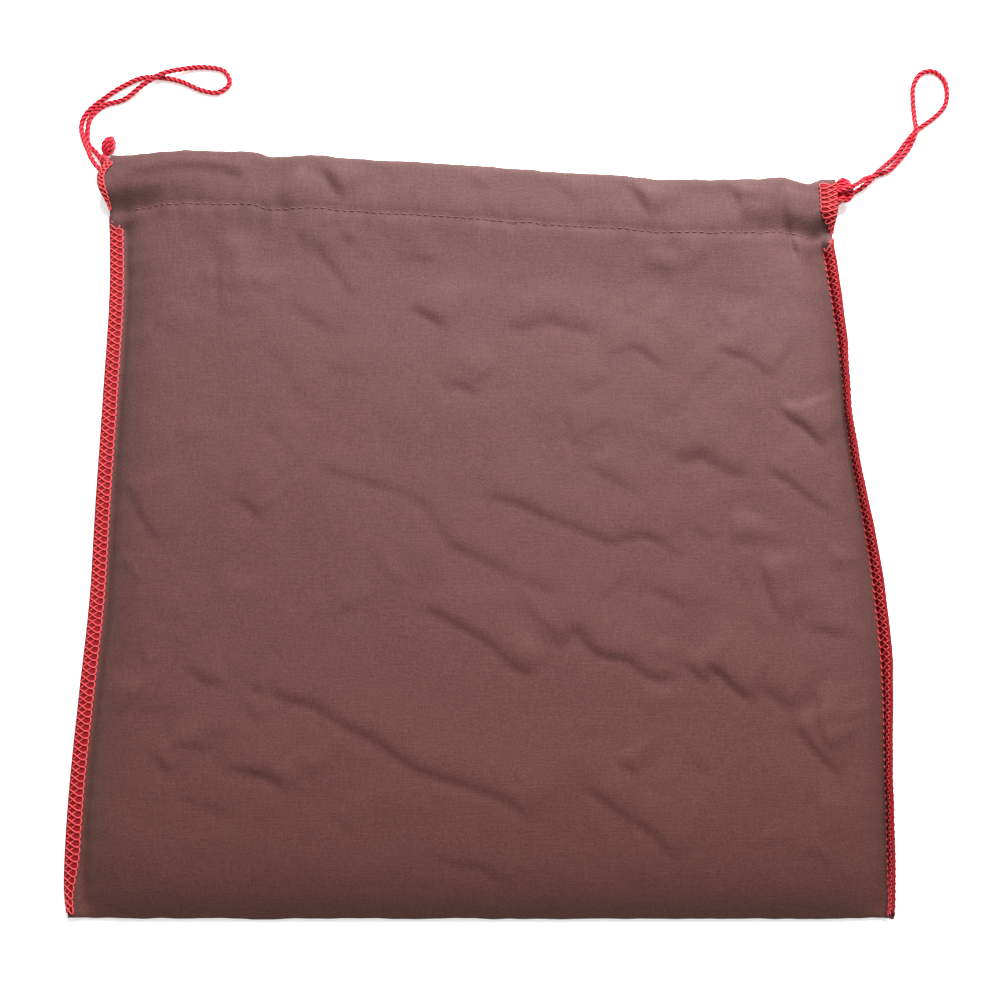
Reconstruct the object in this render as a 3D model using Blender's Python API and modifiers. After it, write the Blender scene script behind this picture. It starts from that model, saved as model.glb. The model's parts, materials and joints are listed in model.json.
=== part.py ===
"""Drawstring pouch: a flat square bag of fine cotton with two cords, lying on its back panel.

Metres, +Z up. The pouch lies on z = 0 with its mouth towards +Y and its bottom fold towards -Y. The origin
is under the middle of the bag. Inside the script lengths are in millimetres, and MM turns them into metres.
"""

import math

import bmesh
import bpy
from mathutils import Vector

MM = 0.001

# Cloth strip
CLOTH_THICKNESS = 0.4
GAP = 0.3
BOTTOM_Y = -147.0
HALF_WIDTH = 147.0
FLANGE_WIDTH = 5.0
HEM_DEPTH = 23.0
STITCH_DEPTH = 20.0
SEAM_START_DEPTH = 27.0
LAYER_PITCH = CLOTH_THICKNESS + GAP
EDGE_LIFT = 0.7
EDGE_LIFT_REACH = 7.0

# Casing: depth of the full channel below the top fold, and the distance between its two layers
CHANNEL_DEPTH = 13.0
CHANNEL_PITCH = 3.3
MOUTH_EDGE_PITCH = 0.8
MOUTH_RISE = 4.4
MOUTH_ARCH_REACH = 45.0

# Loft of the front panel over the back panel
PANEL_RISE = 8.6
PANEL_SIDE_START = 3.5
PANEL_SIDE_REACH = 10.0
PANEL_BOTTOM_REACH = 12.0
BOTTOM_FOLD_GAP = 0.9
BOTTOM_FOLD_REACH = 20.0

# Overlocked edges
THREAD_WALL = 0.3
SEAM_CLEARANCE = 0.38
SEAM_ARM_START = 1.2
CASING_BAND_WIDTH = 3.0
CASING_BAND_TOP = 5.0
CASING_BAND_BOTTOM = 15.0
CASING_BAND_REACH = 0.35
BAND_SLOPE_REACH = 1.0

# Stitches and cords
STITCH_THREAD_DIAMETER = 0.3
STITCH_END_DISTANCE = 3.0
CORD_DIAMETER = 2.0
FREE_STEP = 5.0
HIDDEN_STEP = 16.0
HIDDEN_SPAN = 12.0

# Height of the mouth's fold along the bag, as (x, y)
TOP_LINE = [(-153, 145.0), (-146, 145.7), (-123, 147.0), (-90, 145.3), (-50, 142.9),
            (0, 139.8), (50, 136.4), (90, 134.5), (116, 134.6), (139, 135.6)]

# Where the side seams start to be sewn, as (y, x): the flange of both layers stands outside this line
LEFT_BASE = [(-147, -147.6), (-121, -147.6), (-105, -147.4), (-68, -145.6), (-31, -143.4),
             (7, -143.0), (47, -142.3), (97, -142.0), (118, -143.2)]
RIGHT_BASE = [(-147, 147.6), (-116, 148.2), (-90, 148.6), (-59, 149.0), (-16, 146.4),
              (38, 140.2), (59, 139.2), (93, 135.6), (114, 132.6)]

# Ends of the casings, as (depth below the fold, x)
LEFT_END = [(0, -146.4), (2.2, -148.2), (4.5, -150.3), (7, -151.8), (12, -152.0),
            (20, -148.6), (27, -148.2)]
RIGHT_END = [(0, 137.6), (12, 137.8), (20, 136.8), (27, 137.2)]

# How far the flanges are turned up, as (depth below the fold, degrees)
LEFT_TURN = [(24, 0), (60, 8), (290, 6)]
RIGHT_TURN = [(29, 0), (58, 50), (150, 58), (230, 64), (290, 60)]

# Columns across the bag: on the flange (share of its width), and inside it (mm from the seam line)
FLANGE_COLUMNS = [1.0, 0.5]
PANEL_COLUMNS = [0.0, 2.5, 6.0, 12.0, 21.0, 33.0, 45.0, 65.0, 100.0]

# Rows along the bag: depths below the top fold, then distances above the bottom fold
CASING_ROWS = [4.0, 8.0, CHANNEL_DEPTH, 16.5, STITCH_DEPTH]
SHOULDER_ROWS = [HEM_DEPTH, 25.0, SEAM_START_DEPTH, 31.0, 35.0, 39.0, 43.0, 47.0, 52.0, 58.0]
SHOULDER_ABOVE_BOTTOM = 227.0
PANEL_ROWS = [200.0, 175.0, 150.0, 125.0, 100.0, 75.0, 50.0, 32.0, 20.0, 11.0, 5.0, 1.8]
FOLD_STEPS = 3

# Cord that loops out at the left corner, from its knot at the right corner through the front casing, round
# the loop and back through the back casing
LEFT_LOOP_CORD = [
    (141.4, 127.4, 6.6), (138.2, 125.8, 6.65), (133, 125.3, 6.65), (125, 125.0, 7.1), (111, 124.5, 9.0),
    (88, 124.6, 10.35), (66, 125.5, 10.35), (0, 129.8, 10.35), (-80, 134.7, 10.35),
    (-102, 136.1, 10.35), (-125, 137.0, 9.0), (-139, 136.3, 7.1), (-147.2, 136.5, 6.65),
    (-152.2, 139.2, 6.6), (-155.8, 143.8, 5.6), (-158.2, 148.8, 4.3), (-160.6, 154.4, 3.2),
    (-161.9, 160.2, 1.9), (-160.4, 165.4, 1.15), (-153.4, 172.1, 1.05), (-145.9, 177.4, 1.05),
    (-138.6, 180.8, 1.05), (-131, 180.9, 1.05), (-123, 179.2, 1.05), (-114, 175.3, 1.05),
    (-107.6, 174.6, 1.05), (-103.3, 178.5, 1.05), (-105.6, 183.6, 1.05), (-113, 185.4, 1.05),
    (-122, 184.4, 1.7), (-130.6, 181.3, 3.35), (-138, 177.2, 2.2), (-145.6, 171.5, 1.1),
    (-153.6, 168.8, 1.05), (-158.6, 163.8, 1.05), (-159.6, 157.4, 1.05), (-158.9, 152.4, 1.05),
    (-155.8, 148.8, 1.05), (-153.2, 145.2, 1.5), (-151.2, 140.9, 2.55), (-147, 137.4, 2.55),
    (-138, 136.4, 1.85), (-80, 134.7, 1.85), (0, 129.8, 1.85), (66, 125.5, 1.85), (124, 124.8, 1.85),
    (133, 125.3, 2.5), (137.8, 125.8, 2.7), (140.4, 127.2, 3.9),
]

# Cord that loops out at the right corner, from its knot at the left corner through the front casing, round
# the loop and back through the back casing
RIGHT_LOOP_CORD = [
    (-151.9, 145.9, 4.4), (-149.7, 143.4, 6.4), (-146.4, 141.7, 6.65), (-139, 140.4, 7.1),
    (-125, 141.0, 9.0), (-102, 140.1, 10.35), (-80, 138.7, 10.35), (0, 133.8, 10.35),
    (66, 129.5, 10.35), (88, 128.6, 10.35), (111, 128.5, 9.0), (125, 129.0, 7.1), (133, 129.3, 6.65),
    (138.6, 129.9, 6.65), (143.6, 131.2, 7.8), (147.9, 134.1, 6.1), (150.3, 136.7, 2.8),
    (153.0, 138.1, 1.3), (160.8, 141.0, 1.1), (165.6, 145.9, 1.1), (169.9, 151.5, 1.8),
    (171.9, 157.3, 3.4), (172.1, 163.4, 1.8), (172.1, 170.7, 1.15), (172.6, 177.2, 1.05),
    (175.6, 182.4, 1.05), (180.6, 183.6, 1.05), (184.9, 180.0, 1.05), (186.0, 173.8, 1.05),
    (184.6, 168.4, 1.05), (180.4, 163.8, 1.05), (175.2, 159.9, 1.05), (171.6, 156.9, 1.05),
    (168.3, 152.9, 1.05), (164.1, 147.4, 1.1), (159.4, 142.9, 2.3), (155.3, 139.0, 3.5),
    (151.8, 135.2, 2.6), (147.6, 132.4, 1.1), (143.4, 131.1, 1.05), (138.6, 129.9, 2.5),
    (133, 129.3, 2.5), (124, 128.8, 1.85), (66, 129.5, 1.85), (0, 133.8, 1.85), (-80, 138.7, 1.85),
    (-138, 140.4, 1.85), (-144, 141.3, 2.3), (-147.6, 143.1, 2.55), (-149.6, 145.5, 2.5),
]

# Knots, as centre, half sizes and turn about Z
LEFT_KNOT = ((-150.0, 150.6, 3.1), (2.9, 4.3, 2.4), -15.0)
RIGHT_KNOT = ((143.4, 130.9, 4.4), (3.3, 5.2, 2.05), 0.0)

# Colours
CLOTH_COLOUR = (0.21, 0.115, 0.11, 1.0)
STITCH_COLOUR = (0.30, 0.16, 0.13, 1.0)
THREAD_COLOUR = (0.80, 0.07, 0.08, 1.0)
CORD_COLOUR = (0.72, 0.012, 0.04, 1.0)


def smooth_step(value):
    """Eased 0 to 1 for a value from 0 to 1."""
    value = min(1.0, max(0.0, value))
    return value * value * (3.0 - 2.0 * value)


def curve_value(points, at):
    """Height of a smooth line through (position, height) points, level past its ends."""
    if at <= points[0][0]:
        return points[0][1]
    if at >= points[-1][0]:
        return points[-1][1]
    index = max(i for i, point in enumerate(points) if point[0] <= at)
    index = min(index, len(points) - 2)

    def slope(i):
        low = max(0, i - 1)
        high = min(len(points) - 1, i + 1)
        return (points[high][1] - points[low][1]) / (points[high][0] - points[low][0])

    x0, y0 = points[index]
    x1, y1 = points[index + 1]
    width = x1 - x0
    t = (at - x0) / width
    start = y0 * (1 + 2 * t) * (1 - t) ** 2 + slope(index) * width * t * (1 - t) ** 2
    end = y1 * t * t * (3 - 2 * t) + slope(index + 1) * width * t * t * (t - 1)
    return start + end


def layer_heights(inside, depth, above_bottom):
    """Heights of the cloth's layers, back outer, back hem, front hem and front outer.

    inside is the distance from the side seam's line, depth the distance below the top fold.
    """
    back = CLOTH_THICKNESS / 2 + EDGE_LIFT * max(0.0, 1 - max(inside, 0) / EDGE_LIFT_REACH) ** 2
    channel = CHANNEL_PITCH + (LAYER_PITCH - CHANNEL_PITCH) * smooth_step(
        (depth - CHANNEL_DEPTH) / (STITCH_DEPTH - CHANNEL_DEPTH))
    arch = math.sin(math.pi / 2 * min(1.0, inside / MOUTH_ARCH_REACH))
    puff = 1 - math.exp(-max(0.0, inside - PANEL_SIDE_START) / PANEL_SIDE_REACH)
    panel_share = smooth_step((depth - CHANNEL_DEPTH) / (SEAM_START_DEPTH - CHANNEL_DEPTH))
    shape = arch + (puff - arch) * panel_share
    stack = 2 * channel + MOUTH_EDGE_PITCH
    top_rise = CHANNEL_PITCH + MOUTH_EDGE_PITCH + MOUTH_RISE + channel
    middle = top_rise + (LAYER_PITCH + PANEL_RISE - top_rise) * panel_share
    seam_share = smooth_step((depth - HEM_DEPTH) / (SEAM_START_DEPTH - HEM_DEPTH))
    edge = stack + (LAYER_PITCH - stack) * seam_share
    bottom = 1 - math.exp(-above_bottom / PANEL_BOTTOM_REACH)
    rise = edge + (middle - edge) * shape * bottom
    if seam_share >= 1.0:
        opening = smooth_step(inside / BOTTOM_FOLD_REACH)
        rise = max(rise, LAYER_PITCH + (BOTTOM_FOLD_GAP - LAYER_PITCH) * opening)
    return back, back + channel, back + rise - channel, back + rise


def side_frame(side, depth, y):
    """Seam line's x, and the flange's outward and upward unit directions, for side -1 or 1."""
    base_points, end_points, turn_points = (
        (LEFT_BASE, LEFT_END, LEFT_TURN) if side < 0 else (RIGHT_BASE, RIGHT_END, RIGHT_TURN))
    seam_x = curve_value(base_points, y)
    end_x = curve_value(end_points, depth) - side * FLANGE_WIDTH
    share = smooth_step((depth - STITCH_DEPTH) / (SEAM_START_DEPTH - STITCH_DEPTH))
    x = end_x + (seam_x - end_x) * share
    turn = math.radians(curve_value(turn_points, depth))
    outward = Vector((side * math.cos(turn), 0, math.sin(turn)))
    upward = Vector((-side * math.sin(turn), 0, math.cos(turn)))
    return x, outward, upward


def row_y(column_x, depth, above_bottom):
    """Y of a row at a column, and the row's depth there."""
    top = curve_value(TOP_LINE, column_x)
    if above_bottom is None:
        return top - depth, depth, top - depth - BOTTOM_Y
    shoulder = top - SHOULDER_ROWS[-1]
    share = above_bottom / SHOULDER_ABOVE_BOTTOM
    y = BOTTOM_Y + (shoulder - BOTTOM_Y) * share
    return y, top - y, y - BOTTOM_Y


def sheet_point(column, layer, depth, above_bottom=None):
    """Point on one layer of the cloth's middle surface, in millimetres."""
    side, flange, inside = column
    guess = side * HALF_WIDTH if side else 0.0
    left_x = right_x = 0.0
    for _ in range(3):
        y, here_depth, height = row_y(guess, depth, above_bottom)
        left_x = side_frame(-1, here_depth, y)[0]
        right_x = side_frame(1, here_depth, y)[0]
        middle = (left_x + right_x) / 2
        half = (right_x - left_x) / 2
        edge_x = middle + side * half
        guess = edge_x - side * inside * half / HALF_WIDTH if side else middle
    real_inside = abs(abs(guess - middle) - half)
    if inside == 0 and side:
        real_inside = 0.0
    heights = layer_heights(real_inside, here_depth, height)
    z = heights[layer]
    if side == 0 or inside > 0:
        return Vector((guess, y, z))
    _, outward, upward = side_frame(side, here_depth, y)
    centre = Vector((edge_x, y, (heights[0] + heights[3]) / 2))
    off = z - centre.z
    if flange == 0:
        halfway = (upward + Vector((0, 0, 1))).normalized()
        return centre + halfway * off / halfway.z
    return centre + outward * FLANGE_WIDTH * flange + upward * off


def fold_points(first, last, forward):
    """Points round a fold from one layer to the next, bulging along Y by its radius."""
    centre = (first + last) / 2
    arm = (first - last) / 2
    points = []
    for step in range(1, FOLD_STEPS + 1):
        angle = math.pi * step / (FOLD_STEPS + 1)
        bulge = Vector((0, forward * arm.length * math.sin(angle), 0))
        points.append(centre + arm * math.cos(angle) + bulge)
    return points


def column_list():
    """Columns from the left edge to the right edge as (side, share of the flange, distance inside)."""
    left = [(-1, share, 0.0) for share in FLANGE_COLUMNS]
    left += [(-1, 0.0, inside) for inside in PANEL_COLUMNS]
    right = [(1, flange, inside) for _, flange, inside in reversed(left)]
    return left + [(0, 0.0, HALF_WIDTH)] + right


def cloth_column(column):
    """One column of the strip, from the front hem's raw edge round the bag to the back hem's raw edge."""
    inner_rows = [HEM_DEPTH] + list(reversed(CASING_ROWS))
    outer_rows = CASING_ROWS + SHOULDER_ROWS
    top_radius = CHANNEL_PITCH / 2
    front_hem = [sheet_point(column, 2, depth) for depth in inner_rows + [top_radius]]
    front = [sheet_point(column, 3, depth) for depth in [top_radius] + outer_rows]
    front += [sheet_point(column, 3, 0.0, above) for above in PANEL_ROWS]
    back = [sheet_point(column, 0, 0.0, above) for above in reversed(PANEL_ROWS)]
    back += [sheet_point(column, 0, depth) for depth in list(reversed(outer_rows)) + [top_radius]]
    back_hem = [sheet_point(column, 1, depth) for depth in [top_radius] + list(reversed(inner_rows))]
    points = front_hem + fold_points(front_hem[-1], front[0], 1)
    points += front + fold_points(front[-1], back[0], -1)
    points += back + fold_points(back[-1], back_hem[0], 1)
    return points + back_hem


def add_object(name, mesh, material, collection):
    """Put a mesh in the scene as one named object with one material."""
    mesh.materials.clear()
    mesh.materials.append(material)
    item = bpy.data.objects.new(name, mesh)
    collection.objects.link(item)
    return item


def make_material(name, colour, roughness):
    """Plain fabric or thread material."""
    material = bpy.data.materials.new(name)
    material.use_nodes = True
    shader = material.node_tree.nodes["Principled BSDF"]
    shader.inputs["Base Color"].default_value = colour
    shader.inputs["Roughness"].default_value = roughness
    shader.inputs["Metallic"].default_value = 0.0
    return material


def grid_mesh(name, columns):
    """Mesh of a sheet from its columns of points, all of one length."""
    rows = len(columns[0])
    vertices = [point * MM for column in columns for point in column]
    faces = []
    for across in range(len(columns) - 1):
        for along in range(rows - 1):
            corner = across * rows + along
            faces.append((corner, corner + rows, corner + rows + 1, corner + 1))
    mesh = bpy.data.meshes.new(name)
    mesh.from_pydata(vertices, [], faces)
    return mesh


def make_cloth(material, collection):
    """The folded strip: both panels, the bottom fold, both casings and their hems."""
    mesh = grid_mesh("pouch_cloth", [cloth_column(column) for column in column_list()])
    mesh.shade_smooth()
    cloth = add_object("pouch_cloth", mesh, material, collection)
    solidify = cloth.modifiers.new("Thickness", "SOLIDIFY")
    solidify.thickness = CLOTH_THICKNESS * MM
    solidify.offset = 0.0
    solidify.use_even_offset = True
    return cloth


def loft_mesh(name, sections):
    """Closed mesh through rings of points, with a flat cap at each end."""
    count = len(sections[0])
    vertices = [point * MM for section in sections for point in section]
    faces = []
    for ring in range(len(sections) - 1):
        for corner in range(count):
            first = ring * count + corner
            second = ring * count + (corner + 1) % count
            faces.append((first, second, second + count, first + count))
    faces.append(tuple(range(count)))
    faces.append(tuple(range(len(vertices) - count, len(vertices))))
    mesh = bpy.data.meshes.new(name)
    mesh.from_pydata(vertices, [], faces)
    turned = bmesh.new()
    turned.from_mesh(mesh)
    bmesh.ops.recalc_face_normals(turned, faces=turned.faces)
    turned.to_mesh(mesh)
    turned.free()
    return mesh


def seam_section(side, depth, above_bottom):
    """Ring of the thread channel round the two layers' edges, at one place along the side seam."""
    edge = (side, 1.0, 0.0)
    front = sheet_point(edge, 3, depth, above_bottom)
    back = sheet_point(edge, 0, depth, above_bottom)
    y, here_depth, _ = row_y(side * HALF_WIDTH, depth, above_bottom)
    _, outward, upward = side_frame(side, here_depth, y)
    tip = (front + back) / 2
    inner = (LAYER_PITCH + CLOTH_THICKNESS) / 2 + SEAM_CLEARANCE
    outer = inner + THREAD_WALL
    start = SEAM_ARM_START - FLANGE_WIDTH
    profile = [(start, inner), (start, outer), (GAP + THREAD_WALL, outer), (GAP + THREAD_WALL, -outer),
               (start, -outer), (start, -inner), (GAP, -inner), (GAP, inner)]
    return [tip + outward * along + upward * up for along, up in profile]


def make_side_overlock(name, side, material, collection):
    """Overlock thread along one side seam, a channel round both layers' edges."""
    places = [(depth, None) for depth in SHOULDER_ROWS[2:]]
    places += [(0.0, above) for above in PANEL_ROWS + [0.0]]
    sections = [seam_section(side, depth, above) for depth, above in places]
    return add_object(name, loft_mesh(name, sections), material, collection)


def make_casing_band(name, side, layer, material, collection):
    """Overlock thread on one end of a casing: on its outer face and over its edge."""
    facing = 1 if layer == 3 else -1
    depths = [CASING_BAND_TOP, 8.0, CHANNEL_DEPTH, CASING_BAND_BOTTOM]
    face = CLOTH_THICKNESS / 2 + GAP
    sections = []
    for depth in depths:
        shifts = (-BAND_SLOPE_REACH, 0.0, BAND_SLOPE_REACH)
        above, edge, below = (sheet_point((side, 1.0, 0.0), layer, depth + shift) for shift in shifts)
        along_y = above - below
        upward = Vector((0, -along_y.z, along_y.y)).normalized() * facing
        profile = [(-CASING_BAND_WIDTH, face), (-CASING_BAND_WIDTH, face + THREAD_WALL),
                   (GAP + THREAD_WALL, face + THREAD_WALL), (GAP + THREAD_WALL, -CASING_BAND_REACH),
                   (GAP, -CASING_BAND_REACH), (GAP, face)]
        sections.append([edge + Vector((side * along, 0, 0)) + upward * up for along, up in profile])
    return add_object(name, loft_mesh(name, sections), material, collection)


def smooth_route(points, step_of):
    """Points along a centripetal Catmull-Rom curve through a route."""
    route = [Vector(point) for point in points]
    route = [route[0] * 2 - route[1]] + route + [route[-1] * 2 - route[-2]]
    result = []
    for i in range(1, len(route) - 2):
        p0, p1, p2, p3 = route[i - 1:i + 3]
        t0 = 0.0
        t1 = t0 + (p1 - p0).length ** 0.5
        t2 = t1 + (p2 - p1).length ** 0.5
        t3 = t2 + (p3 - p2).length ** 0.5
        pieces = max(1, round((p2 - p1).length / step_of(p1, p2)))
        for k in range(pieces):
            t = t1 + (t2 - t1) * k / pieces
            a1 = p0 * ((t1 - t) / (t1 - t0)) + p1 * ((t - t0) / (t1 - t0))
            a2 = p1 * ((t2 - t) / (t2 - t1)) + p2 * ((t - t1) / (t2 - t1))
            a3 = p2 * ((t3 - t) / (t3 - t2)) + p3 * ((t - t2) / (t3 - t2))
            b1 = a1 * ((t2 - t) / (t2 - t0)) + a2 * ((t - t0) / (t2 - t0))
            b2 = a2 * ((t3 - t) / (t3 - t1)) + a3 * ((t - t1) / (t3 - t1))
            result.append(b1 * ((t2 - t) / (t2 - t1)) + b2 * ((t - t1) / (t2 - t1)))
    result.append(route[-2])
    return result


def cord_step(start, end):
    """Spacing of the tube's points: close on the free loop, wide inside the casings."""
    return HIDDEN_STEP if (end - start).length > HIDDEN_SPAN else FREE_STEP


def make_tube(name, points, diameter, material, collection):
    """Round tube along points, as a curve with a bevel and filled caps."""
    curve = bpy.data.curves.new(name, "CURVE")
    curve.dimensions = "3D"
    curve.bevel_depth = diameter / 2 * MM
    curve.bevel_resolution = 2
    curve.render_resolution_u = 0
    curve.use_fill_caps = True
    spline = curve.splines.new("POLY")
    spline.points.add(len(points) - 1)
    for item, point in zip(spline.points, points):
        item.co = (*(point * MM), 1.0)
    curve.materials.append(material)
    tube = bpy.data.objects.new(name, curve)
    collection.objects.link(tube)
    return tube


def make_casing_stitch(name, layer, material, collection):
    """Thread of one casing's stitch row, lying on the cloth's upper face from end to end."""
    above = CLOTH_THICKNESS / 2 + GAP + STITCH_THREAD_DIAMETER / 2
    columns = [
        column for column in column_list() if column[1] == 0.0 and column[2] > STITCH_END_DISTANCE]
    points = [sheet_point(column, layer, STITCH_DEPTH) + Vector((0, 0, above)) for column in columns]
    return make_tube(name, points, STITCH_THREAD_DIAMETER, material, collection)


def make_knot(name, size, material, collection):
    """Knot of a cord's two ends as one rounded solid."""
    centre, halves, turn = size
    bpy.ops.mesh.primitive_uv_sphere_add(segments=16, ring_count=10, radius=MM)
    knot = bpy.context.active_object
    knot.name = name
    knot.data.name = name
    knot.location = Vector(centre) * MM
    knot.rotation_euler = (0, 0, math.radians(turn))
    knot.scale = halves
    knot.data.materials.append(material)
    knot.data.shade_smooth()
    for owner in list(knot.users_collection):
        owner.objects.unlink(knot)
    collection.objects.link(knot)
    return knot


def main():
    for item in list(bpy.data.objects):
        bpy.data.objects.remove(item, do_unlink=True)
    collection = bpy.data.collections.new("drawstring_pouch")
    bpy.context.scene.collection.children.link(collection)
    cloth = make_material("cloth", CLOTH_COLOUR, 0.9)
    stitch = make_material("stitch_thread", STITCH_COLOUR, 0.7)
    thread = make_material("overlock_thread", THREAD_COLOUR, 0.6)
    cord = make_material("cord", CORD_COLOUR, 0.5)

    make_cloth(cloth, collection)
    for side_name, side in (("left", -1), ("right", 1)):
        make_side_overlock(f"side_overlock_{side_name}", side, thread, collection)
        for face_name, layer in (("front", 3), ("back", 0)):
            make_casing_band(f"casing_overlock_{face_name}_{side_name}", side, layer, thread, collection)
    make_casing_stitch("casing_stitch_front", 3, stitch, collection)
    make_casing_stitch("casing_stitch_back", 1, stitch, collection)
    for name, route in (("cord_left_loop", LEFT_LOOP_CORD), ("cord_right_loop", RIGHT_LOOP_CORD)):
        make_tube(name, smooth_route(route, cord_step), CORD_DIAMETER, cord, collection)
    make_knot("knot_left", LEFT_KNOT, cord, collection)
    make_knot("knot_right", RIGHT_KNOT, cord, collection)


main()
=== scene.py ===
"""Looks of a drawstring pouch: fine cotton cloth, overlocked side seams, a stitched casing and two cords.

Laid out as an add-on and run as a script. Lengths inside the script are in millimetres, and MM turns them
into metres. The pouch lies on z = 0 with its mouth towards +Y, and the origin is under the middle of the bag.
"""

import json
import math

import bpy
import numpy as np
from bpy.props import FloatProperty, FloatVectorProperty, IntProperty, PointerProperty
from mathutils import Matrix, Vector, noise

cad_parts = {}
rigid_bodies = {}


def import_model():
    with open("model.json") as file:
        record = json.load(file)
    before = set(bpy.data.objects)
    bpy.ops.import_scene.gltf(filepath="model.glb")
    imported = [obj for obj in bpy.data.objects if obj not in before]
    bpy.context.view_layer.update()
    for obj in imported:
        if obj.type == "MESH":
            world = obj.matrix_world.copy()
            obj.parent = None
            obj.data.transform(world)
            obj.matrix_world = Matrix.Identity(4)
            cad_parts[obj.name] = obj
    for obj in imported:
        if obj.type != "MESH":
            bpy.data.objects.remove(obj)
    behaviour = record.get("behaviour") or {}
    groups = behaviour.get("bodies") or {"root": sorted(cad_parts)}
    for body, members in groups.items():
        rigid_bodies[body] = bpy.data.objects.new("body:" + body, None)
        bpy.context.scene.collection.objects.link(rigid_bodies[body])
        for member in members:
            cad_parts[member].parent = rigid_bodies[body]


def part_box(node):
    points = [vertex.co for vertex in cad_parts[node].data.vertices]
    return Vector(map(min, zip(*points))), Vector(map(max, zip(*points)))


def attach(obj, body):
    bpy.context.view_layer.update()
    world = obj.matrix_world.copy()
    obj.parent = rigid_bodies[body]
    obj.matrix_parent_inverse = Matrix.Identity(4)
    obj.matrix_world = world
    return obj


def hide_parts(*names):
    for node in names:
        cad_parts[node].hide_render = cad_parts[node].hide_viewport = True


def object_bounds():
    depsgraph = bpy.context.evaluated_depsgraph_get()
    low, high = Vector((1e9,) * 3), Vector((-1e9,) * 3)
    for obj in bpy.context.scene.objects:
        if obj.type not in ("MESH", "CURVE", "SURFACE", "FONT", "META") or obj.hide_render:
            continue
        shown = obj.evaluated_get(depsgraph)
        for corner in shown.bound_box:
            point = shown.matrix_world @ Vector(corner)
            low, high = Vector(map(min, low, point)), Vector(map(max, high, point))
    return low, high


bl_info = {
    "name": "Drawstring Pouch",
    "version": (1, 0, 0),
    "blender": (4, 5, 0),
    "location": "View3D > Sidebar > Pouch",
    "description": "Cloth, seams and cords of a flat drawstring pouch",
    "category": "Object",
}

for start_object in list(bpy.data.objects):
    bpy.data.objects.remove(start_object, do_unlink=True)
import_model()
CAD_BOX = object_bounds()

MM = 0.001

# Cloth's box in the frame, from which the folded cloth is laid out, and where its two folds lie against it
CLOTH_LOW, CLOTH_HIGH = (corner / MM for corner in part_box("pouch_cloth"))
CLOTH_THICKNESS = 0.4
TOP_DROP = 1.4
BOTTOM_DROP = 0.6
LEFT = CLOTH_LOW.x
RIGHT = CLOTH_HIGH.x
BOTTOM = CLOTH_LOW.y - BOTTOM_DROP
TOP = CLOTH_HIGH.y - TOP_DROP

# Layers of the folded cloth
LAYER_GAP = 0.3
LAYER_PITCH = CLOTH_THICKNESS + LAYER_GAP
BACK, BACK_HEM, FRONT_HEM, FRONT = range(4)
HEM_DEPTH = 25.0
STITCH_DEPTH = 22.0
SEAM_START_DEPTH = 29.5
SHOULDER_DEPTH = 58.0
SLOPE_DEPTH = 48.0
PANEL_LENGTH = 227.0
BOTTOM_FOLD_START = 1.4
CASING_ROWS_LENGTH = 18.4
SHOULDER_ROWS_LENGTH = 38.0
EDGE_LIFT = 0.7
EDGE_LIFT_REACH = 7.0
CHANNEL_DEPTH = 13.0
CHANNEL_PITCH = 3.3
MOUTH_EDGE_PITCH = 0.8
MOUTH_RISE = 4.4
MOUTH_ARCH_REACH = 45.0
PANEL_RISE = 8.6
PANEL_SIDE_START = 1.8
PANEL_SIDE_REACH = 5.5
PANEL_BOTTOM_REACH = 12.0
BOTTOM_FOLD_GAP = 0.9
BOTTOM_FOLD_REACH = 20.0
FLANGE_WIDTH = 5.0

# Top fold, as (distance from the left side, drop below the highest point)
TOP_LINE = [(0, 2.0), (6.6, 1.3), (30, 0), (50, 0.9), (63, 1.6), (67, 3.0), (73, 3.0), (80, 2.6), (103, 4.1),
            (153, 7.2), (180, 9.6), (203, 10.8), (220, 12.4), (243, 12.6), (260, 11.9), (269, 11.0),
            (279, 12.8), (288, 10.8), (292, 11.6)]

# Side seams' sewn lines, as (height above the bottom, distance in from that side)
SEAM_LINES = {
    -1: [(0, 7.2), (9, 5.6), (26, 5.0), (42, 5.2), (79, 7.0), (116, 9.2), (154, 9.6), (194, 10.3),
         (244, 10.6), (265, 9.4)],
    1: [(0, 5.8), (10, 4.6), (31, 3.6), (57, 3.2), (88, 2.8), (131, 5.4), (185, 11.6), (206, 12.6),
        (240, 16.2), (261, 19.2)],
}

# Ends of the casings, as (depth below the fold, distance in from that side)
CASING_ENDS = {
    -1: [(0, 6.2), (2.2, 4.4), (4.5, 2.3), (7, 0.8), (12, 0.6), (20, 4.0), (27, 4.4)],
    1: [(0, 14.2), (12, 14.0), (20, 15.0), (27, 14.6)],
}

# How far the seams' flanges are turned up, as (depth below the fold, degrees)
FLANGE_TURNS = {
    -1: [(24, 0), (60, 8), (290, 6)],
    1: [(21, 0), (26, 50), (34, 60), (60, 74), (72, 86), (110, 86), (150, 70), (190, 68), (215, 84),
        (290, 86)],
}

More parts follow.
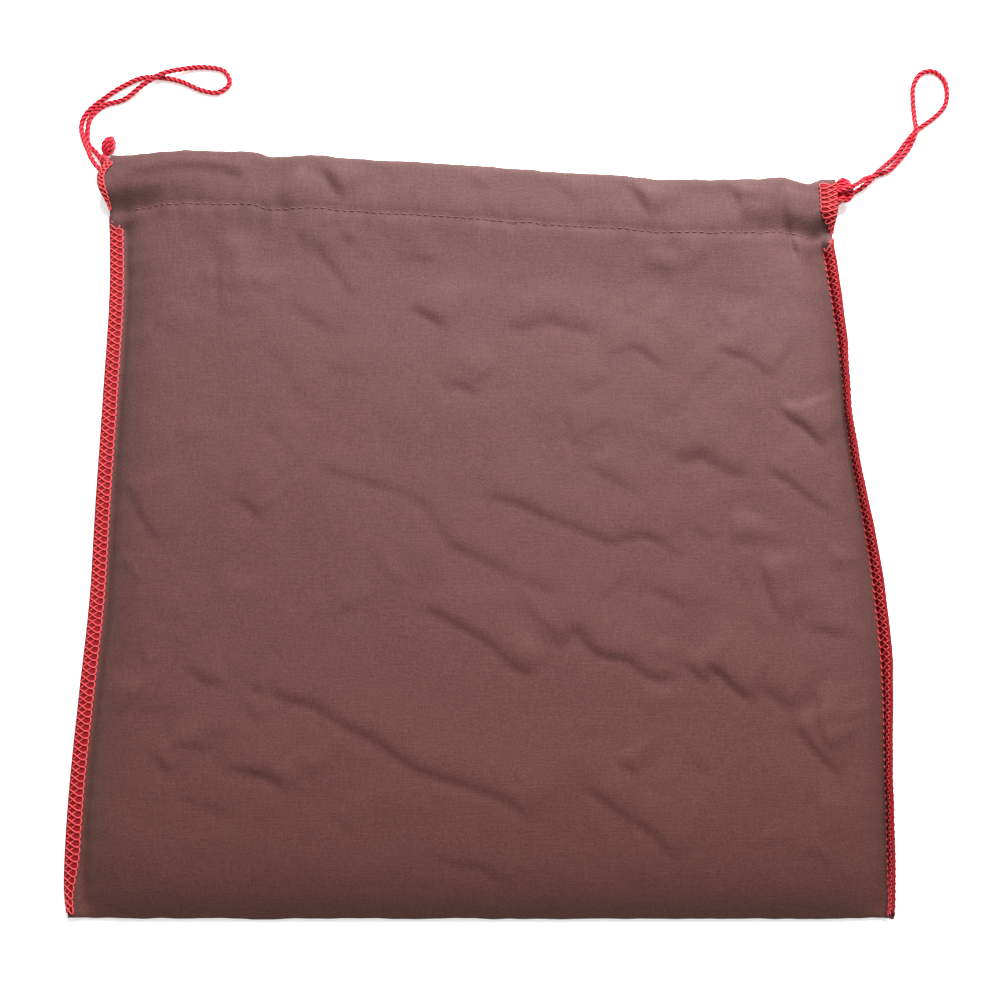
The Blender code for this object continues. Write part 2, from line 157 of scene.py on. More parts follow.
# Creases of the front: height, reach of the soft side and reach of the steep side, then the foot of the steep
# side as points in the frame, from left to right or from top to bottom, with the raised side on the left
SHARP = (0.85, 15.0, 2.8)
STRONG = (0.56, 14.0, 3.0)
MIDDLE = (0.31, 11.0, 3.2)
FAINT = (0.2, 10.0, 3.8)
BROAD = (0.7, 15.0, 6.0)
FOLD = (0.95, 9.0, 3.0)
CREASE_GROOVE = 0.4
CREASES = [
    (MIDDLE, [(-105, 113), (-106, 104), (-111, 98), (-114, 91)]),
    (MIDDLE, [(-101, 115), (-104, 100), (-103, 85), (-102, 75)]),
    (MIDDLE, [(-97, 107), (-99, 97), (-100, 85)]),
    (MIDDLE, [(-68, 112), (-65, 104), (-58, 95), (-52, 86), (-49, 83)]),
    (STRONG, [(-57, 109), (-54, 108), (-50, 107)]),
    (FAINT, [(-79, 83), (-71, 79), (-63, 73), (-52, 68)]),
    (MIDDLE, [(-36, 101), (-28, 100), (-21, 100), (-15, 102)]),
    (STRONG, [(-31, 83), (-27, 80), (-23, 78), (-13, 71)]),
    (STRONG, [(-16, 48), (-11, 50), (-6, 48), (0, 45)]),
    (MIDDLE, [(-2, 50), (2, 54), (7, 57)]),
    (FAINT, [(-85, 65), (-78, 59), (-74, 51), (-70, 44)]),
    (MIDDLE, [(-112, 45), (-115, 39), (-118, 32), (-117, 26)]),
    (FAINT, [(-63, 58), (-57, 55), (-52, 55), (-42, 53)]),
    (FAINT, [(-87, 37), (-80, 31), (-74, 24), (-68, 20)]),
    (MIDDLE, [(-84, 6), (-77, 14), (-71, 19), (-66, 20)]),
    (MIDDLE, [(-66, 20), (-57, 16), (-47, 13), (-38, 10), (-30, 8), (-22, 2), (-18, -4), (-13, -11),
        (-2, -17), (9, -21)]),
    (STRONG, [(-96, 5), (-90, 4), (-86, 0), (-83, -3)]),
    (FAINT, [(-68, 43), (-63, 38)]),
    (STRONG, [(-137, 15), (-131, 2), (-125, -7), (-122, -12)]),
    (MIDDLE, [(-124, 89), (-127, 81), (-129, 72)]),
    (FAINT, [(-91, 95), (-88, 86)]),
    (MIDDLE, [(-75, 115), (-71, 107), (-70, 102)]),
    (BROAD, [(5, 76), (13, 72), (24, 75), (35, 72), (45, 71)]),
    (STRONG, [(45, 61), (52, 63), (57, 65), (62, 62), (66, 58), (69, 54)]),
    (MIDDLE, [(38, 45), (43, 50), (49, 54)]),
    (MIDDLE, [(28, 44), (31, 35), (32, 29), (37, 24)]),
    (FAINT, [(44, 43), (46, 33), (50, 25)]),
    (MIDDLE, [(37, 24), (40, 18), (45, 15), (50, 12), (57, 7)]),
    (FAINT, [(56, 93), (55, 87), (52, 80)]),
    (MIDDLE, [(61, 106), (60, 96)]),
    (MIDDLE, [(65, 103), (68, 97), (70, 92), (69, 86), (66, 82), (60, 76)]),
    (MIDDLE, [(75, 94), (80, 96), (85, 100), (91, 105)]),
    (FAINT, [(68, 37), (76, 44), (82, 51), (90, 58), (95, 59)]),
    (FAINT, [(97, 54), (93, 49), (88, 42)]),
    (MIDDLE, [(89, 82), (90, 77), (94, 70)]),
    (STRONG, [(86, 67), (92, 63), (100, 61), (104, 58), (109, 53), (112, 52)]),
    (SHARP, [(114, 47), (112, 41), (116, 37), (122, 33), (125, 29), (130, 25)]),
    (BROAD, [(69, 23), (76, 21), (81, 22), (88, 18), (95, 15), (103, 14)]),
    (MIDDLE, [(76, 17), (81, 23), (86, 27)]),
    (STRONG, [(103, 19), (106, 18), (110, 15), (115, 12), (121, 7), (128, 2), (132, -1)]),
    (STRONG, [(-3, 7), (10, 5), (23, -1), (36, -6), (43, -9), (49, -11), (54, -9), (60, -8), (66, -11),
        (69, -15)]),
    (MIDDLE, [(68, -15), (73, -15), (76, -12)]),
    (MIDDLE, [(73, -3), (79, -6), (84, -9), (88, -8), (92, -7)]),
    (STRONG, [(94, 5), (92, 0), (91, -5), (91, -12)]),
    (FAINT, [(94, 4), (100, 6), (110, 5)]),
    (MIDDLE, [(129, -8), (128, -17), (130, -23)]),
    (FAINT, [(83, 91), (99, 87), (112, 86)]),
    (STRONG, [(-112, -55), (-108, -58), (-103, -62), (-97, -63), (-92, -61)]),
    (MIDDLE, [(-130, -74), (-119, -73), (-109, -74)]),
    (STRONG, [(-135, -76), (-132, -73), (-127, -68), (-123, -61)]),
    (MIDDLE, [(-126, -49), (-127, -54), (-125, -57)]),
    (MIDDLE, [(-87, -61), (-83, -66), (-80, -69)]),
    (MIDDLE, [(-89, -68), (-86, -74), (-84, -78)]),
    (STRONG, [(-123, -85), (-119, -91), (-114, -97)]),
    (STRONG, [(-116, -87), (-111, -86), (-104, -86), (-101, -89)]),
    (SHARP, [(-97, -96), (-90, -94), (-85, -95), (-81, -96), (-75, -97), (-70, -99)]),
    (STRONG, [(-79, -96), (-75, -100), (-73, -103)]),
    (MIDDLE, [(-114, -102), (-108, -105), (-99, -108), (-88, -112)]),
    (FAINT, [(-104, -82), (-93, -81), (-88, -81)]),
    (MIDDLE, [(-57, -39), (-52, -37), (-46, -34), (-39, -30)]),
    (FAINT, [(-34, -28), (-27, -23)]),
    (STRONG, [(-81, -66), (-71, -69), (-63, -71), (-55, -76), (-48, -80), (-41, -83), (-31, -90), (-22, -95),
        (-12, -98), (-3, -101), (6, -104), (12, -108), (17, -114)]),
    (STRONG, [(-25, -33), (-20, -36), (-11, -41), (-5, -44), (1, -48), (6, -53), (11, -57), (18, -61)]),
    (MIDDLE, [(18, -61), (22, -56), (26, -51)]),
    (FAINT, [(-15, -11), (-5, -15), (4, -20), (13, -24), (22, -28), (30, -30)]),
    (MIDDLE, [(-56, -109), (-52, -113), (-48, -117)]),
    (FAINT, [(-112, -116), (-109, -122), (-106, -127)]),
    (MIDDLE, [(-22, -123), (-12, -127), (-1, -129), (5, -133), (11, -134)]),
    (FAINT, [(-69, -88), (-65, -94), (-59, -99)]),
    (FAINT, [(-98, -17), (-101, -26), (-102, -35)]),
    (MIDDLE, [(-130, -26), (-126, -23)]),
    (FAINT, [(-123, -28), (-122, -40)]),
    (SHARP, [(26, -51), (31, -47), (34, -43), (37, -47), (40, -51), (45, -53), (52, -54), (55, -56),
        (58, -59), (63, -61), (70, -60), (73, -59)]),
    (STRONG, [(72, -52), (75, -56), (78, -60), (84, -64)]),
    (SHARP, [(79, -57), (85, -58), (88, -61), (92, -65), (96, -68), (100, -70)]),
    (BROAD, [(99, -66), (105, -67), (109, -71), (113, -75)]),
    (STRONG, [(111, -73), (115, -80), (119, -86), (124, -91), (129, -97)]),
    (STRONG, [(119, -62), (121, -68), (121, -76), (123, -83), (126, -89)]),
    (MIDDLE, [(57, -27), (63, -29), (70, -32), (73, -34), (74, -39)]),
    (FAINT, [(66, -42), (64, -46), (61, -51)]),
    (MIDDLE, [(57, -60), (56, -67), (61, -78)]),
    (STRONG, [(101, -14), (103, -21), (105, -28), (107, -34), (109, -38), (111, -42)]),
    (FAINT, [(91, -10), (94, -20), (97, -30), (99, -39), (100, -47)]),
    (STRONG, [(116, -43), (124, -43), (131, -45), (138, -44)]),
    (STRONG, [(47, -88), (51, -93), (56, -96)]),
    (FAINT, [(56, -96), (60, -100), (66, -105)]),
    (STRONG, [(33, -101), (38, -101), (42, -104), (47, -108), (53, -112), (60, -116), (64, -121),
        (71, -128)]),
    (FAINT, [(40, -34), (46, -31), (51, -26), (58, -20)]),
    (FAINT, [(32, -81), (37, -82), (43, -81)]),
    (FAINT, [(78, -96), (84, -93)]),
    (MIDDLE, [(120, -98), (120, -109), (122, -121)]),
    (MIDDLE, [(130, -73), (133, -78)]),
    (MIDDLE, [(111, -126), (117, -124), (123, -127), (127, -132)]),
    (FAINT, [(94, -117), (95, -122)]),
    (FOLD, [(-141, 135), (-124, 137.5), (-106, 137), (-92, 132)]),
    (MIDDLE, [(-127, 132), (-130, 125), (-131, 119)]),
    (FOLD, [(-72, 141), (-79, 133), (-86, 125)]),
    (FOLD, [(-66, 139), (-60, 131), (-56, 124)]),
    (MIDDLE, [(-41, 140), (-36, 132)]),
    (MIDDLE, [(-10, 134), (2, 127)]),
    (MIDDLE, [(22, 133), (30, 128), (36, 120)]),
    (FOLD, [(51, 135), (59, 126), (64, 116)]),
    (FOLD, [(92, 133), (98, 124), (97, 116)]),
    (MIDDLE, [(106, 132), (112, 119)]),
    (FOLD, [(117, 134), (116, 121), (119, 110), (122, 98)]),
    (MIDDLE, [(124, 130), (133, 119)]),
    (STRONG, [(97, 127), (108, 124)]),
]

# Route of the cord that loops out at the left corner, from its knot at the right corner and back to it
LEFT_LOOP_CORD = [
    (141.4, 127.4, 6.6), (138.2, 125.8, 6.65), (133, 125.3, 6.65), (125, 125.0, 7.1), (111, 124.5, 9.0),
    (88, 124.6, 10.35), (66, 125.5, 10.35), (0, 129.8, 10.35), (-80, 134.7, 10.35),
    (-102, 136.1, 10.35), (-125, 137.0, 9.0), (-139, 136.3, 7.1), (-147.2, 136.5, 6.65),
    (-152.2, 139.2, 6.6), (-155.8, 143.8, 5.6), (-158.2, 148.8, 4.3), (-160.6, 154.4, 3.2),
    (-161.9, 160.2, 1.9), (-160.4, 165.4, 1.15), (-153.4, 172.1, 1.05), (-145.9, 177.4, 1.05),
    (-138.6, 180.8, 1.05), (-131, 180.9, 1.05), (-123, 179.2, 1.05), (-114, 175.3, 1.05),
    (-107.6, 174.6, 1.05), (-103.3, 178.5, 1.05), (-105.6, 183.6, 1.05), (-113, 185.4, 1.05),
    (-122, 184.4, 1.7), (-130.6, 181.3, 3.35), (-138, 177.2, 2.2), (-145.6, 171.5, 1.1),
    (-153.6, 168.8, 1.05), (-158.6, 163.8, 1.05), (-159.6, 157.4, 1.05), (-158.9, 152.4, 1.05),
    (-155.8, 148.8, 1.05), (-153.2, 145.2, 1.5), (-151.2, 140.9, 2.55), (-147, 137.4, 2.55),
    (-138, 136.4, 1.85), (-80, 134.7, 1.85), (0, 129.8, 1.85), (66, 125.5, 1.85), (124, 124.8, 1.85),
    (133, 125.3, 2.5), (137.8, 125.8, 2.7), (140.4, 127.2, 3.9),
]

# Route of the cord that loops out at the right corner, from its knot at the left corner and back to it
RIGHT_LOOP_CORD = [
    (-151.9, 145.9, 4.4), (-149.7, 143.4, 6.4), (-146.4, 141.7, 6.65), (-139, 140.4, 7.1),
    (-125, 141.0, 9.0), (-102, 140.1, 10.35), (-80, 138.7, 10.35), (0, 133.8, 10.35),
    (66, 129.5, 10.35), (88, 128.6, 10.35), (111, 128.5, 9.0), (125, 129.0, 7.1), (133, 129.3, 6.65),
    (138.6, 129.9, 6.65), (143.6, 131.2, 7.8), (147.9, 134.1, 6.1), (150.3, 136.7, 2.8),
    (153.0, 138.1, 1.3), (160.8, 141.0, 1.1), (165.6, 145.9, 1.1), (169.9, 151.5, 1.8),
    (171.9, 157.3, 3.4), (172.1, 163.4, 1.8), (172.1, 170.7, 1.15), (172.6, 177.2, 1.05),
    (175.6, 182.4, 1.05), (180.6, 183.6, 1.05), (184.9, 180.0, 1.05), (186.0, 173.8, 1.05),
    (184.6, 168.4, 1.05), (180.4, 163.8, 1.05), (175.2, 159.9, 1.05), (171.6, 156.9, 1.05),
    (168.3, 152.9, 1.05), (164.1, 147.4, 1.1), (159.4, 142.9, 2.3), (155.3, 139.0, 3.5),
    (151.8, 135.2, 2.6), (147.6, 132.4, 1.1), (143.4, 131.1, 1.05), (138.6, 129.9, 2.5),
    (133, 129.3, 2.5), (124, 128.8, 1.85), (66, 129.5, 1.85), (0, 133.8, 1.85), (-80, 138.7, 1.85),
    (-138, 140.4, 1.85), (-144, 141.3, 2.3), (-147.6, 143.1, 2.55), (-149.6, 145.5, 2.5),
]

# Plies of a cord, and how much fatter each is than three that only touch each other inside the cord
PLIES = 3
PLY_SWELL = 1.12
PLY_SIDES = 8

# Knots, as half sizes of the cord's path, number of turns, angle in degrees, and shift from the solid knot
KNOTS = {
    "left": ((3.2, 1.9, 1.5), 3, 76.0, (0.0, 0.0, 0.0)),
    "right": ((2.9, 4.1, 1.4), 5, 8.0, (-1.6, 0.0, 0.3)),
}

# Looped threads: where they start and stop on each edge, how wide they are, and their points and sides
SIDE_SEAM_LEAD = 6.0
SIDE_SEAM_STOP = 2.5
CASING_END_START = 2.4
CASING_END_STOP = 21.0
CASING_END_WIDTHS = {"left": 2.7, "right": 7.0}
CASING_END_SWELL = 0.22
LOOP_POINTS = 14
LOOP_SIDES = 5

# Packed thread under the loops: its wall, and its section round the edge as (bend outward, height) shares
FILL_WALL = 0.14
FILL_SECTION = [(0.0, 1.0), (0.5, 0.97), (0.85, 0.8), (1.0, 0.0), (0.85, -0.8), (0.5, -0.97), (0.0, -1.0)]

# Straight stitches: radius, points and sides of the thread, and columns left bare at each end of a row
STITCH_RADIUS = 0.19
STITCH_POINTS = 10
STITCH_SIDES = 6
STITCH_END_COLUMNS = 7

# Stage, in metres: how far the view aims from the cloth's middle, and the light's place, size and power
AIM_SHIFT = (0.0062, 0.0074)
LIGHT_PLACE = (0.15, 0.62, 0.52)
LIGHT_SIZE = 0.5
LIGHT_POWER = 26.0


class PouchClothSettings(bpy.types.PropertyGroup):
    """Cloth of the pouch."""

    columns: IntProperty(
        name="Columns", description="Mesh columns across the bag", default=186, min=40, max=190)
    rows: IntProperty(name="Rows", description="Mesh rows down the front", default=148, min=40, max=150)
    colour: FloatVectorProperty(
        name="Colour", description="Colour of the cloth", subtype="COLOR", default=(0.068, 0.0255, 0.0215))
    crease_height: FloatProperty(
        name="Crease Height", description="Share of the full height of the creases", default=1.0,
        subtype="FACTOR", min=0, max=2)
    wrinkle_height: FloatProperty(
        name="Wrinkle Height", description="Height of the small soft wrinkles, in millimetres", default=0.45)


class PouchThreadSettings(bpy.types.PropertyGroup):
    """Overlock threads and casing stitches."""

    side_pitch: FloatProperty(
        name="Side Pitch", description="Length of an overlock stitch on the sides, in millimetres",
        default=2.6)
    casing_pitch: FloatProperty(
        name="Casing Pitch", description="Length of an overlock stitch on the casing's ends, in millimetres",
        default=2.0)
    thread_radius: FloatProperty(
        name="Thread Radius", description="Radius of the overlock thread, in millimetres", default=0.27)
    loop_overlap: FloatProperty(
        name="Loop Overlap", description="How wide each loop swings, in stitch lengths", default=1.1)
    straight_pitch: FloatProperty(
        name="Straight Pitch", description="Length of a straight stitch on the casing, in millimetres",
        default=2.9)
    colour: FloatVectorProperty(
        name="Thread Colour", description="Colour of the overlock thread", subtype="COLOR",
        default=(0.50, 0.055, 0.06))
    # Packed thread under the loops, coloured far darker than the loops: part thread colour, part painted
    # shade in the gaps between the loops.
    fill_shade_colour: FloatVectorProperty(
        name="Fill Colour", description="Colour of the thread packed under the loops", subtype="COLOR",
        default=(0.15, 0.003, 0.006))
    stitch_colour: FloatVectorProperty(
        name="Stitch Colour", description="Colour of the straight stitches", subtype="COLOR",
        default=(0.13, 0.068, 0.055))


class PouchCordSettings(bpy.types.PropertyGroup):
    """Twisted cords and their knots."""

    diameter: FloatProperty(
        name="Diameter", description="Thickness of the cord, in millimetres", default=2.0)
    twist_length: FloatProperty(
        name="Twist Length", description="Length of one turn of a ply, in millimetres", default=6.6)
    colour: FloatVectorProperty(
        name="Colour", description="Colour of the cord", subtype="COLOR", default=(0.50, 0.006, 0.022))


class PouchStageSettings(bpy.types.PropertyGroup):
    """Floor, lights and camera."""

    camera_distance: FloatProperty(
        name="Camera Distance", description="From the aim point", default=0.526, subtype="DISTANCE",
        unit="LENGTH")
    camera_tilt: FloatProperty(
        name="Camera Tilt", description="Lean of the view away from straight down",
        default=math.radians(10), subtype="ANGLE", unit="ROTATION")
    camera_field: FloatProperty(
        name="Field of View", description="Width of the view", default=math.radians(40), subtype="ANGLE",
        unit="ROTATION")
    floor_colour: FloatVectorProperty(
        name="Floor Colour", description="Colour of the floor", subtype="COLOR", default=(0.93, 0.94, 0.92))


# ---------------------------------------------------------------------------------------------------------
# Small tools
# ---------------------------------------------------------------------------------------------------------


def smooth_step(value):
    """Eased 0 to 1 for values from 0 to 1."""
    value = np.clip(value, 0.0, 1.0)
    return value * value * (3.0 - 2.0 * value)


def smooth_line(points, at):
    """Values of a smooth line through (position, value) points, level past its ends."""
    places, values = np.array(points, dtype=float).T
    slopes = np.gradient(values, places)
    at = np.clip(at, places[0], places[-1])
    index = np.clip(np.searchsorted(places, at, side="right") - 1, 0, len(places) - 2)
    width = places[index + 1] - places[index]
    t = (at - places[index]) / width
    start = values[index] * (1 + 2 * t) * (1 - t) ** 2 + slopes[index] * width * t * (1 - t) ** 2
    end = values[index + 1] * t * t * (3 - 2 * t) + slopes[index + 1] * width * t * t * (t - 1)
    return start + end


def soft_noise(x, y, size, seed):
    """Smooth noise from about -1 to 1 at each place, with features of a size in millimetres."""
    x, y = np.broadcast_arrays(x, y)
    values = [noise.noise(Vector((a / size, b / size, seed))) for a, b in zip(x.ravel(), y.ravel())]
    return np.array(values).reshape(x.shape)


def smooth_route(points, step):
    """Evenly spaced points along a centripetal Catmull-Rom curve through a route."""
    route = np.array(points, dtype=float)
    route = np.vstack([2 * route[0] - route[1], route, 2 * route[-1] - route[-2]])
    dense = []
    for p0, p1, p2, p3 in zip(route[:-3], route[1:-2], route[2:-1], route[3:]):
        t1 = np.linalg.norm(p1 - p0) ** 0.5
        t2 = t1 + np.linalg.norm(p2 - p1) ** 0.5
        t3 = t2 + np.linalg.norm(p3 - p2) ** 0.5
        pieces = max(4, round(np.linalg.norm(p2 - p1) / (step / 2)))
        t = np.linspace(t1, t2, pieces, endpoint=False)[:, None]
        a1 = p0 * (t1 - t) / t1 + p1 * t / t1
        a2 = p1 * (t2 - t) / (t2 - t1) + p2 * (t - t1) / (t2 - t1)
        a3 = p2 * (t3 - t) / (t3 - t2) + p3 * (t - t2) / (t3 - t2)
        b1 = a1 * (t2 - t) / t2 + a2 * t / t2
        b2 = a2 * (t3 - t) / (t3 - t1) + a3 * (t - t1) / (t3 - t1)
        dense.append(b1 * (t2 - t) / (t2 - t1) + b2 * (t - t1) / (t2 - t1))
    dense = np.vstack(dense + [route[-2:-1]])
    along = route_distances(dense)
    even = np.linspace(0, along[-1], max(2, round(along[-1] / step)) + 1)
    return np.column_stack([np.interp(even, along, dense[:, axis]) for axis in range(dense.shape[1])])


def route_distances(points):
    """Distance of each point from the first, along the line."""
    steps = np.linalg.norm(np.diff(points, axis=0), axis=1)
    return np.concatenate([[0.0], np.cumsum(steps)])


def unit(vectors):
    """Vectors of length 1."""
    return vectors / np.linalg.norm(vectors, axis=-1, keepdims=True)


def line_frames(points):
    """Tangents and two cross directions along a line, turning as little as possible."""
    tangents = unit(np.gradient(points, axis=0))
    normal = unit(np.cross(tangents[0], (0.31, 0.17, 1.0)))
    normals = []
    for tangent in tangents:
        normal = unit(normal - tangent * normal.dot(tangent))
        normals.append(normal)
    normals = np.array(normals)
    return tangents, normals, np.cross(tangents, normals)


def add_mesh(name, vertices, faces, material, smooth=True):
    """New object from points in millimetres."""
    mesh = bpy.data.meshes.new(name)
    mesh.from_pydata([tuple(point) for point in np.asarray(vertices) * MM], [], faces)
    mesh.materials.append(material)
    if smooth:
        mesh.shade_smooth()
    piece = bpy.data.objects.new(name, mesh)
    bpy.context.scene.collection.objects.link(piece)
    return piece


def tube_faces(first, rings, sides):
    """Faces of a closed tube made of rings of points, with both ends."""
    faces = []
    for ring in range(rings - 1):
        for side in range(sides):
            a = first + ring * sides + side
            b = first + ring * sides + (side + 1) % sides
            faces.append((a, b, b + sides, a + sides))
    last = first + (rings - 1) * sides
    faces.append(tuple(first + side for side in reversed(range(sides))))
    faces.append(tuple(last + side for side in range(sides)))
    return faces


def grid_faces(rows, columns):
    """Faces of a grid of points."""
    corners = (np.arange(rows - 1)[:, None] * columns + np.arange(columns - 1)).ravel()
    return np.stack([corners, corners + columns, corners + columns + 1, corners + 1], axis=1).tolist()


def join_pieces(name, parts):
    """One object out of several, each with its own material."""
    with bpy.context.temp_override(active_object=parts[0], selected_editable_objects=parts):
        bpy.ops.object.join()
    parts[0].name = name
    parts[0].data.name = name
    return parts[0]


def finish_piece(piece, slot, *nodes):
    """Hang a piece on the root body and hide the frame nodes it stands for; the slot it is given is not used.
    """
    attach(piece, "root")
    if nodes:
        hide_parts(*nodes)


def set_inputs(tree, node, inputs):
    """Give a node's inputs their values or other nodes' sockets."""
    for key, value in inputs.items():
        if isinstance(value, bpy.types.NodeSocket):
            tree.links.new(value, node.inputs[key])
        else:
            node.inputs[key].default_value = value


def add_node(tree, kind, inputs=None, **settings):
    """New node, whose inputs take values or other nodes' sockets."""
    node = tree.nodes.new(kind)
    for name, value in settings.items():
        setattr(node, name, value)
    set_inputs(tree, node, inputs or {})
    return node


def calculate(tree, operation, *values):
    """Result of a Math node."""
    return add_node(tree, "ShaderNodeMath", dict(enumerate(values)), operation=operation).outputs[0]


def combine(tree, operation, *values):
    """Result of a Vector Math node."""
    keys = ("Vector", "Scale") if operation == "SCALE" else (0, 1)
    return add_node(tree, "ShaderNodeVectorMath", dict(zip(keys, values)), operation=operation).outputs[0]


# ---------------------------------------------------------------------------------------------------------
# Materials
# ---------------------------------------------------------------------------------------------------------


def new_material(name):
    """New node material, its tree and its shader."""
    material = bpy.data.materials.new(name)
    material.use_nodes = True
    tree = material.node_tree
    return material, tree, tree.nodes["Principled BSDF"]


def mix_colours(tree, share, first, second, blend="MIX"):
    """Colour between two colours."""
    return add_node(
        tree, "ShaderNodeMix", {0: share, 6: first, 7: second}, data_type="RGBA", blend_type=blend).outputs[2]


def add_bump(tree, height, strength, distance):
    """Normals bent by a small relief, with its depth in metres."""
    return add_node(tree, "ShaderNodeBump", {
        "Height": height, "Strength": strength, "Distance": distance}).outputs[0]


def tinted(colour, factor):
    """Colour made lighter or darker, with its alpha."""
    return (*(min(1.0, part * factor) for part in colour[:3]), 1.0)


def cloth_material(colour):
    """Fine plain-weave cotton: two yarn directions, uneven yarns, patches of fading, a soft nap, and a
    painted sheen that turns the colour greyer and bluer towards the mouth and browner towards the bottom.
    """
    material, tree, shader = new_material("cotton_cloth")
    place = add_node(tree, "ShaderNodeTexCoord").outputs["Object"]

    def stretched_noise(scale, detail, roughness=0.6):
        mapping = add_node(tree, "ShaderNodeMapping", {"Vector": place, "Scale": scale})
        return add_node(tree, "ShaderNodeTexNoise", {
            "Vector": mapping.outputs[0], "Scale": 1.0, "Detail": detail,
            "Roughness": roughness}).outputs["Fac"]

    patches = stretched_noise((14, 11, 14), 3.0)
    warp_slubs = stretched_noise((2600, 160, 600), 2.0)
    weft_slubs = stretched_noise((160, 2600, 600), 2.0)
    grain = stretched_noise((1500, 1500, 1500), 1.0)
    yarns = []
    for direction in ("X", "Y"):
        wave = add_node(tree, "ShaderNodeTexWave", {
            "Vector": place, "Scale": 640.0, "Distortion": 1.2, "Detail": 1.0, "Detail Scale": 0.02},
            wave_type="BANDS", bands_direction=direction, wave_profile="SIN")
        yarns.append(wave.outputs["Fac"])
    weave = calculate(tree, "MULTIPLY", yarns[0], yarns[1])
    slubs = calculate(tree, "ADD", warp_slubs, weft_slubs)
    tone = calculate(tree, "ADD", calculate(tree, "MULTIPLY", slubs, 0.5), grain)
    share = add_node(tree, "ShaderNodeMapRange", {
        "Value": tone, "From Min": 0.75, "From Max": 1.25, "To Min": 0.0, "To Max": 1.0}).outputs[0]
    base = mix_colours(tree, share, tinted(colour, 0.78), tinted(colour, 1.24))
    warm = mix_colours(tree, patches, (0.97, 1.02, 1.05, 1.0), (1.03, 0.98, 0.95, 1.0))
    # Painted sheen and shade: the colour ramps from browner at the bottom to greyer and bluer at the mouth,
    # standing in for the light from beyond the mouth.
    along = add_node(tree, "ShaderNodeSeparateXYZ", {"Vector": place}).outputs["Y"]
    mouth_sheen_share = add_node(tree, "ShaderNodeMapRange", {
        "Value": along, "From Min": -0.11, "From Max": 0.11, "To Min": 0.0, "To Max": 1.0}).outputs[0]
    painted_mouth_sheen = mix_colours(tree, mouth_sheen_share, (0.97, 0.87, 0.82, 1.0), (0.95, 1.08, 1.25, 1.0))
    # Random tone patches times the painted sheen towards the mouth.
    patches_and_mouth_sheen = mix_colours(tree, 1.0, warm, painted_mouth_sheen, "MULTIPLY")
    relief = calculate(tree, "ADD", calculate(tree, "MULTIPLY", weave, 0.3), tone)
    set_inputs(tree, shader, {
        "Base Color": mix_colours(tree, 1.0, base, patches_and_mouth_sheen, "MULTIPLY"),
        "Normal": add_bump(tree, relief, 0.6, 0.00014), "Roughness": 0.65, "Specular IOR Level": 0.16,
        "Sheen Weight": 0.05, "Sheen Roughness": 0.55, "Sheen Tint": (0.95, 0.85, 0.86, 1.0)})
    return material


def fibre_material(name, colour, light, dark, roughness, stripes):
    """Twisted thread: fine fibres along the strand's own UV map, with painted shade that darkens the colour
    towards the grooves between the plies, so it is lighter on top of the plies.
    """
    material, tree, shader = new_material(name)
    strand = add_node(tree, "ShaderNodeUVMap", uv_map="strand").outputs[0]
    mapping = add_node(tree, "ShaderNodeMapping", {"Vector": strand, "Scale": (stripes, 1.0, 1.0)})
    fibres = add_node(tree, "ShaderNodeTexWave", {
        "Vector": mapping.outputs[0], "Scale": 1.0, "Distortion": 2.0, "Detail": 2.0, "Detail Scale": 2.0},
        wave_type="BANDS", bands_direction="DIAGONAL", wave_profile="SIN").outputs["Fac"]
    # Painted shade: points deep between the plies get a copy of the colour darkened to 0.35; only the crests
    # keep the full fibre colour.
    crest = add_node(tree, "ShaderNodeAttribute", attribute_name="crest").outputs["Fac"]
    raised = add_node(tree, "ShaderNodeMapRange", {
        "Value": crest, "From Min": 0.78, "From Max": 0.98, "To Min": 0.12, "To Max": 1.0}).outputs[0]
    top = mix_colours(tree, fibres, tinted(colour, dark), tinted(colour, light))
    set_inputs(tree, shader, {
        "Base Color": mix_colours(tree, raised, tinted(colour, 0.35), top),
        "Normal": add_bump(tree, fibres, 0.5, 0.0001), "Roughness": roughness, "Specular IOR Level": 0.2,
        "Sheen Weight": 0.05, "Sheen Roughness": 0.4, "Sheen Tint": (1.0, 0.6, 0.62, 1.0)})
    return material


def thread_material(name, colour, roughness):
    """Fluffy sewing thread, mottled by its fibres."""
    material, tree, shader = new_material(name)
    place = add_node(tree, "ShaderNodeTexCoord").outputs["Object"]
    fibres = add_node(tree, "ShaderNodeTexNoise", {
        "Vector": place, "Scale": 3200.0, "Detail": 2.0, "Roughness": 0.6}).outputs["Fac"]
    patches = add_node(tree, "ShaderNodeTexNoise", {
        "Vector": place, "Scale": 260.0, "Detail": 1.0}).outputs["Fac"]
    mottled = mix_colours(tree, fibres, tinted(colour, 0.72), tinted(colour, 1.3))
    uneven = mix_colours(tree, patches, (0.85, 0.85, 0.85, 1.0), (1.12, 1.12, 1.12, 1.0))
    set_inputs(tree, shader, {
        "Base Color": mix_colours(tree, 1.0, mottled, uneven, "MULTIPLY"),
        "Normal": add_bump(tree, fibres, 0.6, 0.00012), "Roughness": roughness, "Specular IOR Level": 0.12})
    return material


def floor_material(colour):
    """Plain pale floor with a very faint unevenness."""
    material, tree, shader = new_material("floor")
    place = add_node(tree, "ShaderNodeTexCoord").outputs["Object"]
    cloud = add_node(tree, "ShaderNodeTexNoise", {"Vector": place, "Scale": 3.0}).outputs["Fac"]
    set_inputs(tree, shader, {
        "Base Color": mix_colours(tree, cloud, tinted(colour, 0.99), tinted(colour, 1.0)),
        "Roughness": 0.9, "Specular IOR Level": 0.1,
        "Emission Color": (1.0, 1.0, 0.99, 1.0), "Emission Strength": 0.4})
    return material


# ---------------------------------------------------------------------------------------------------------
# Cloth
# ---------------------------------------------------------------------------------------------------------


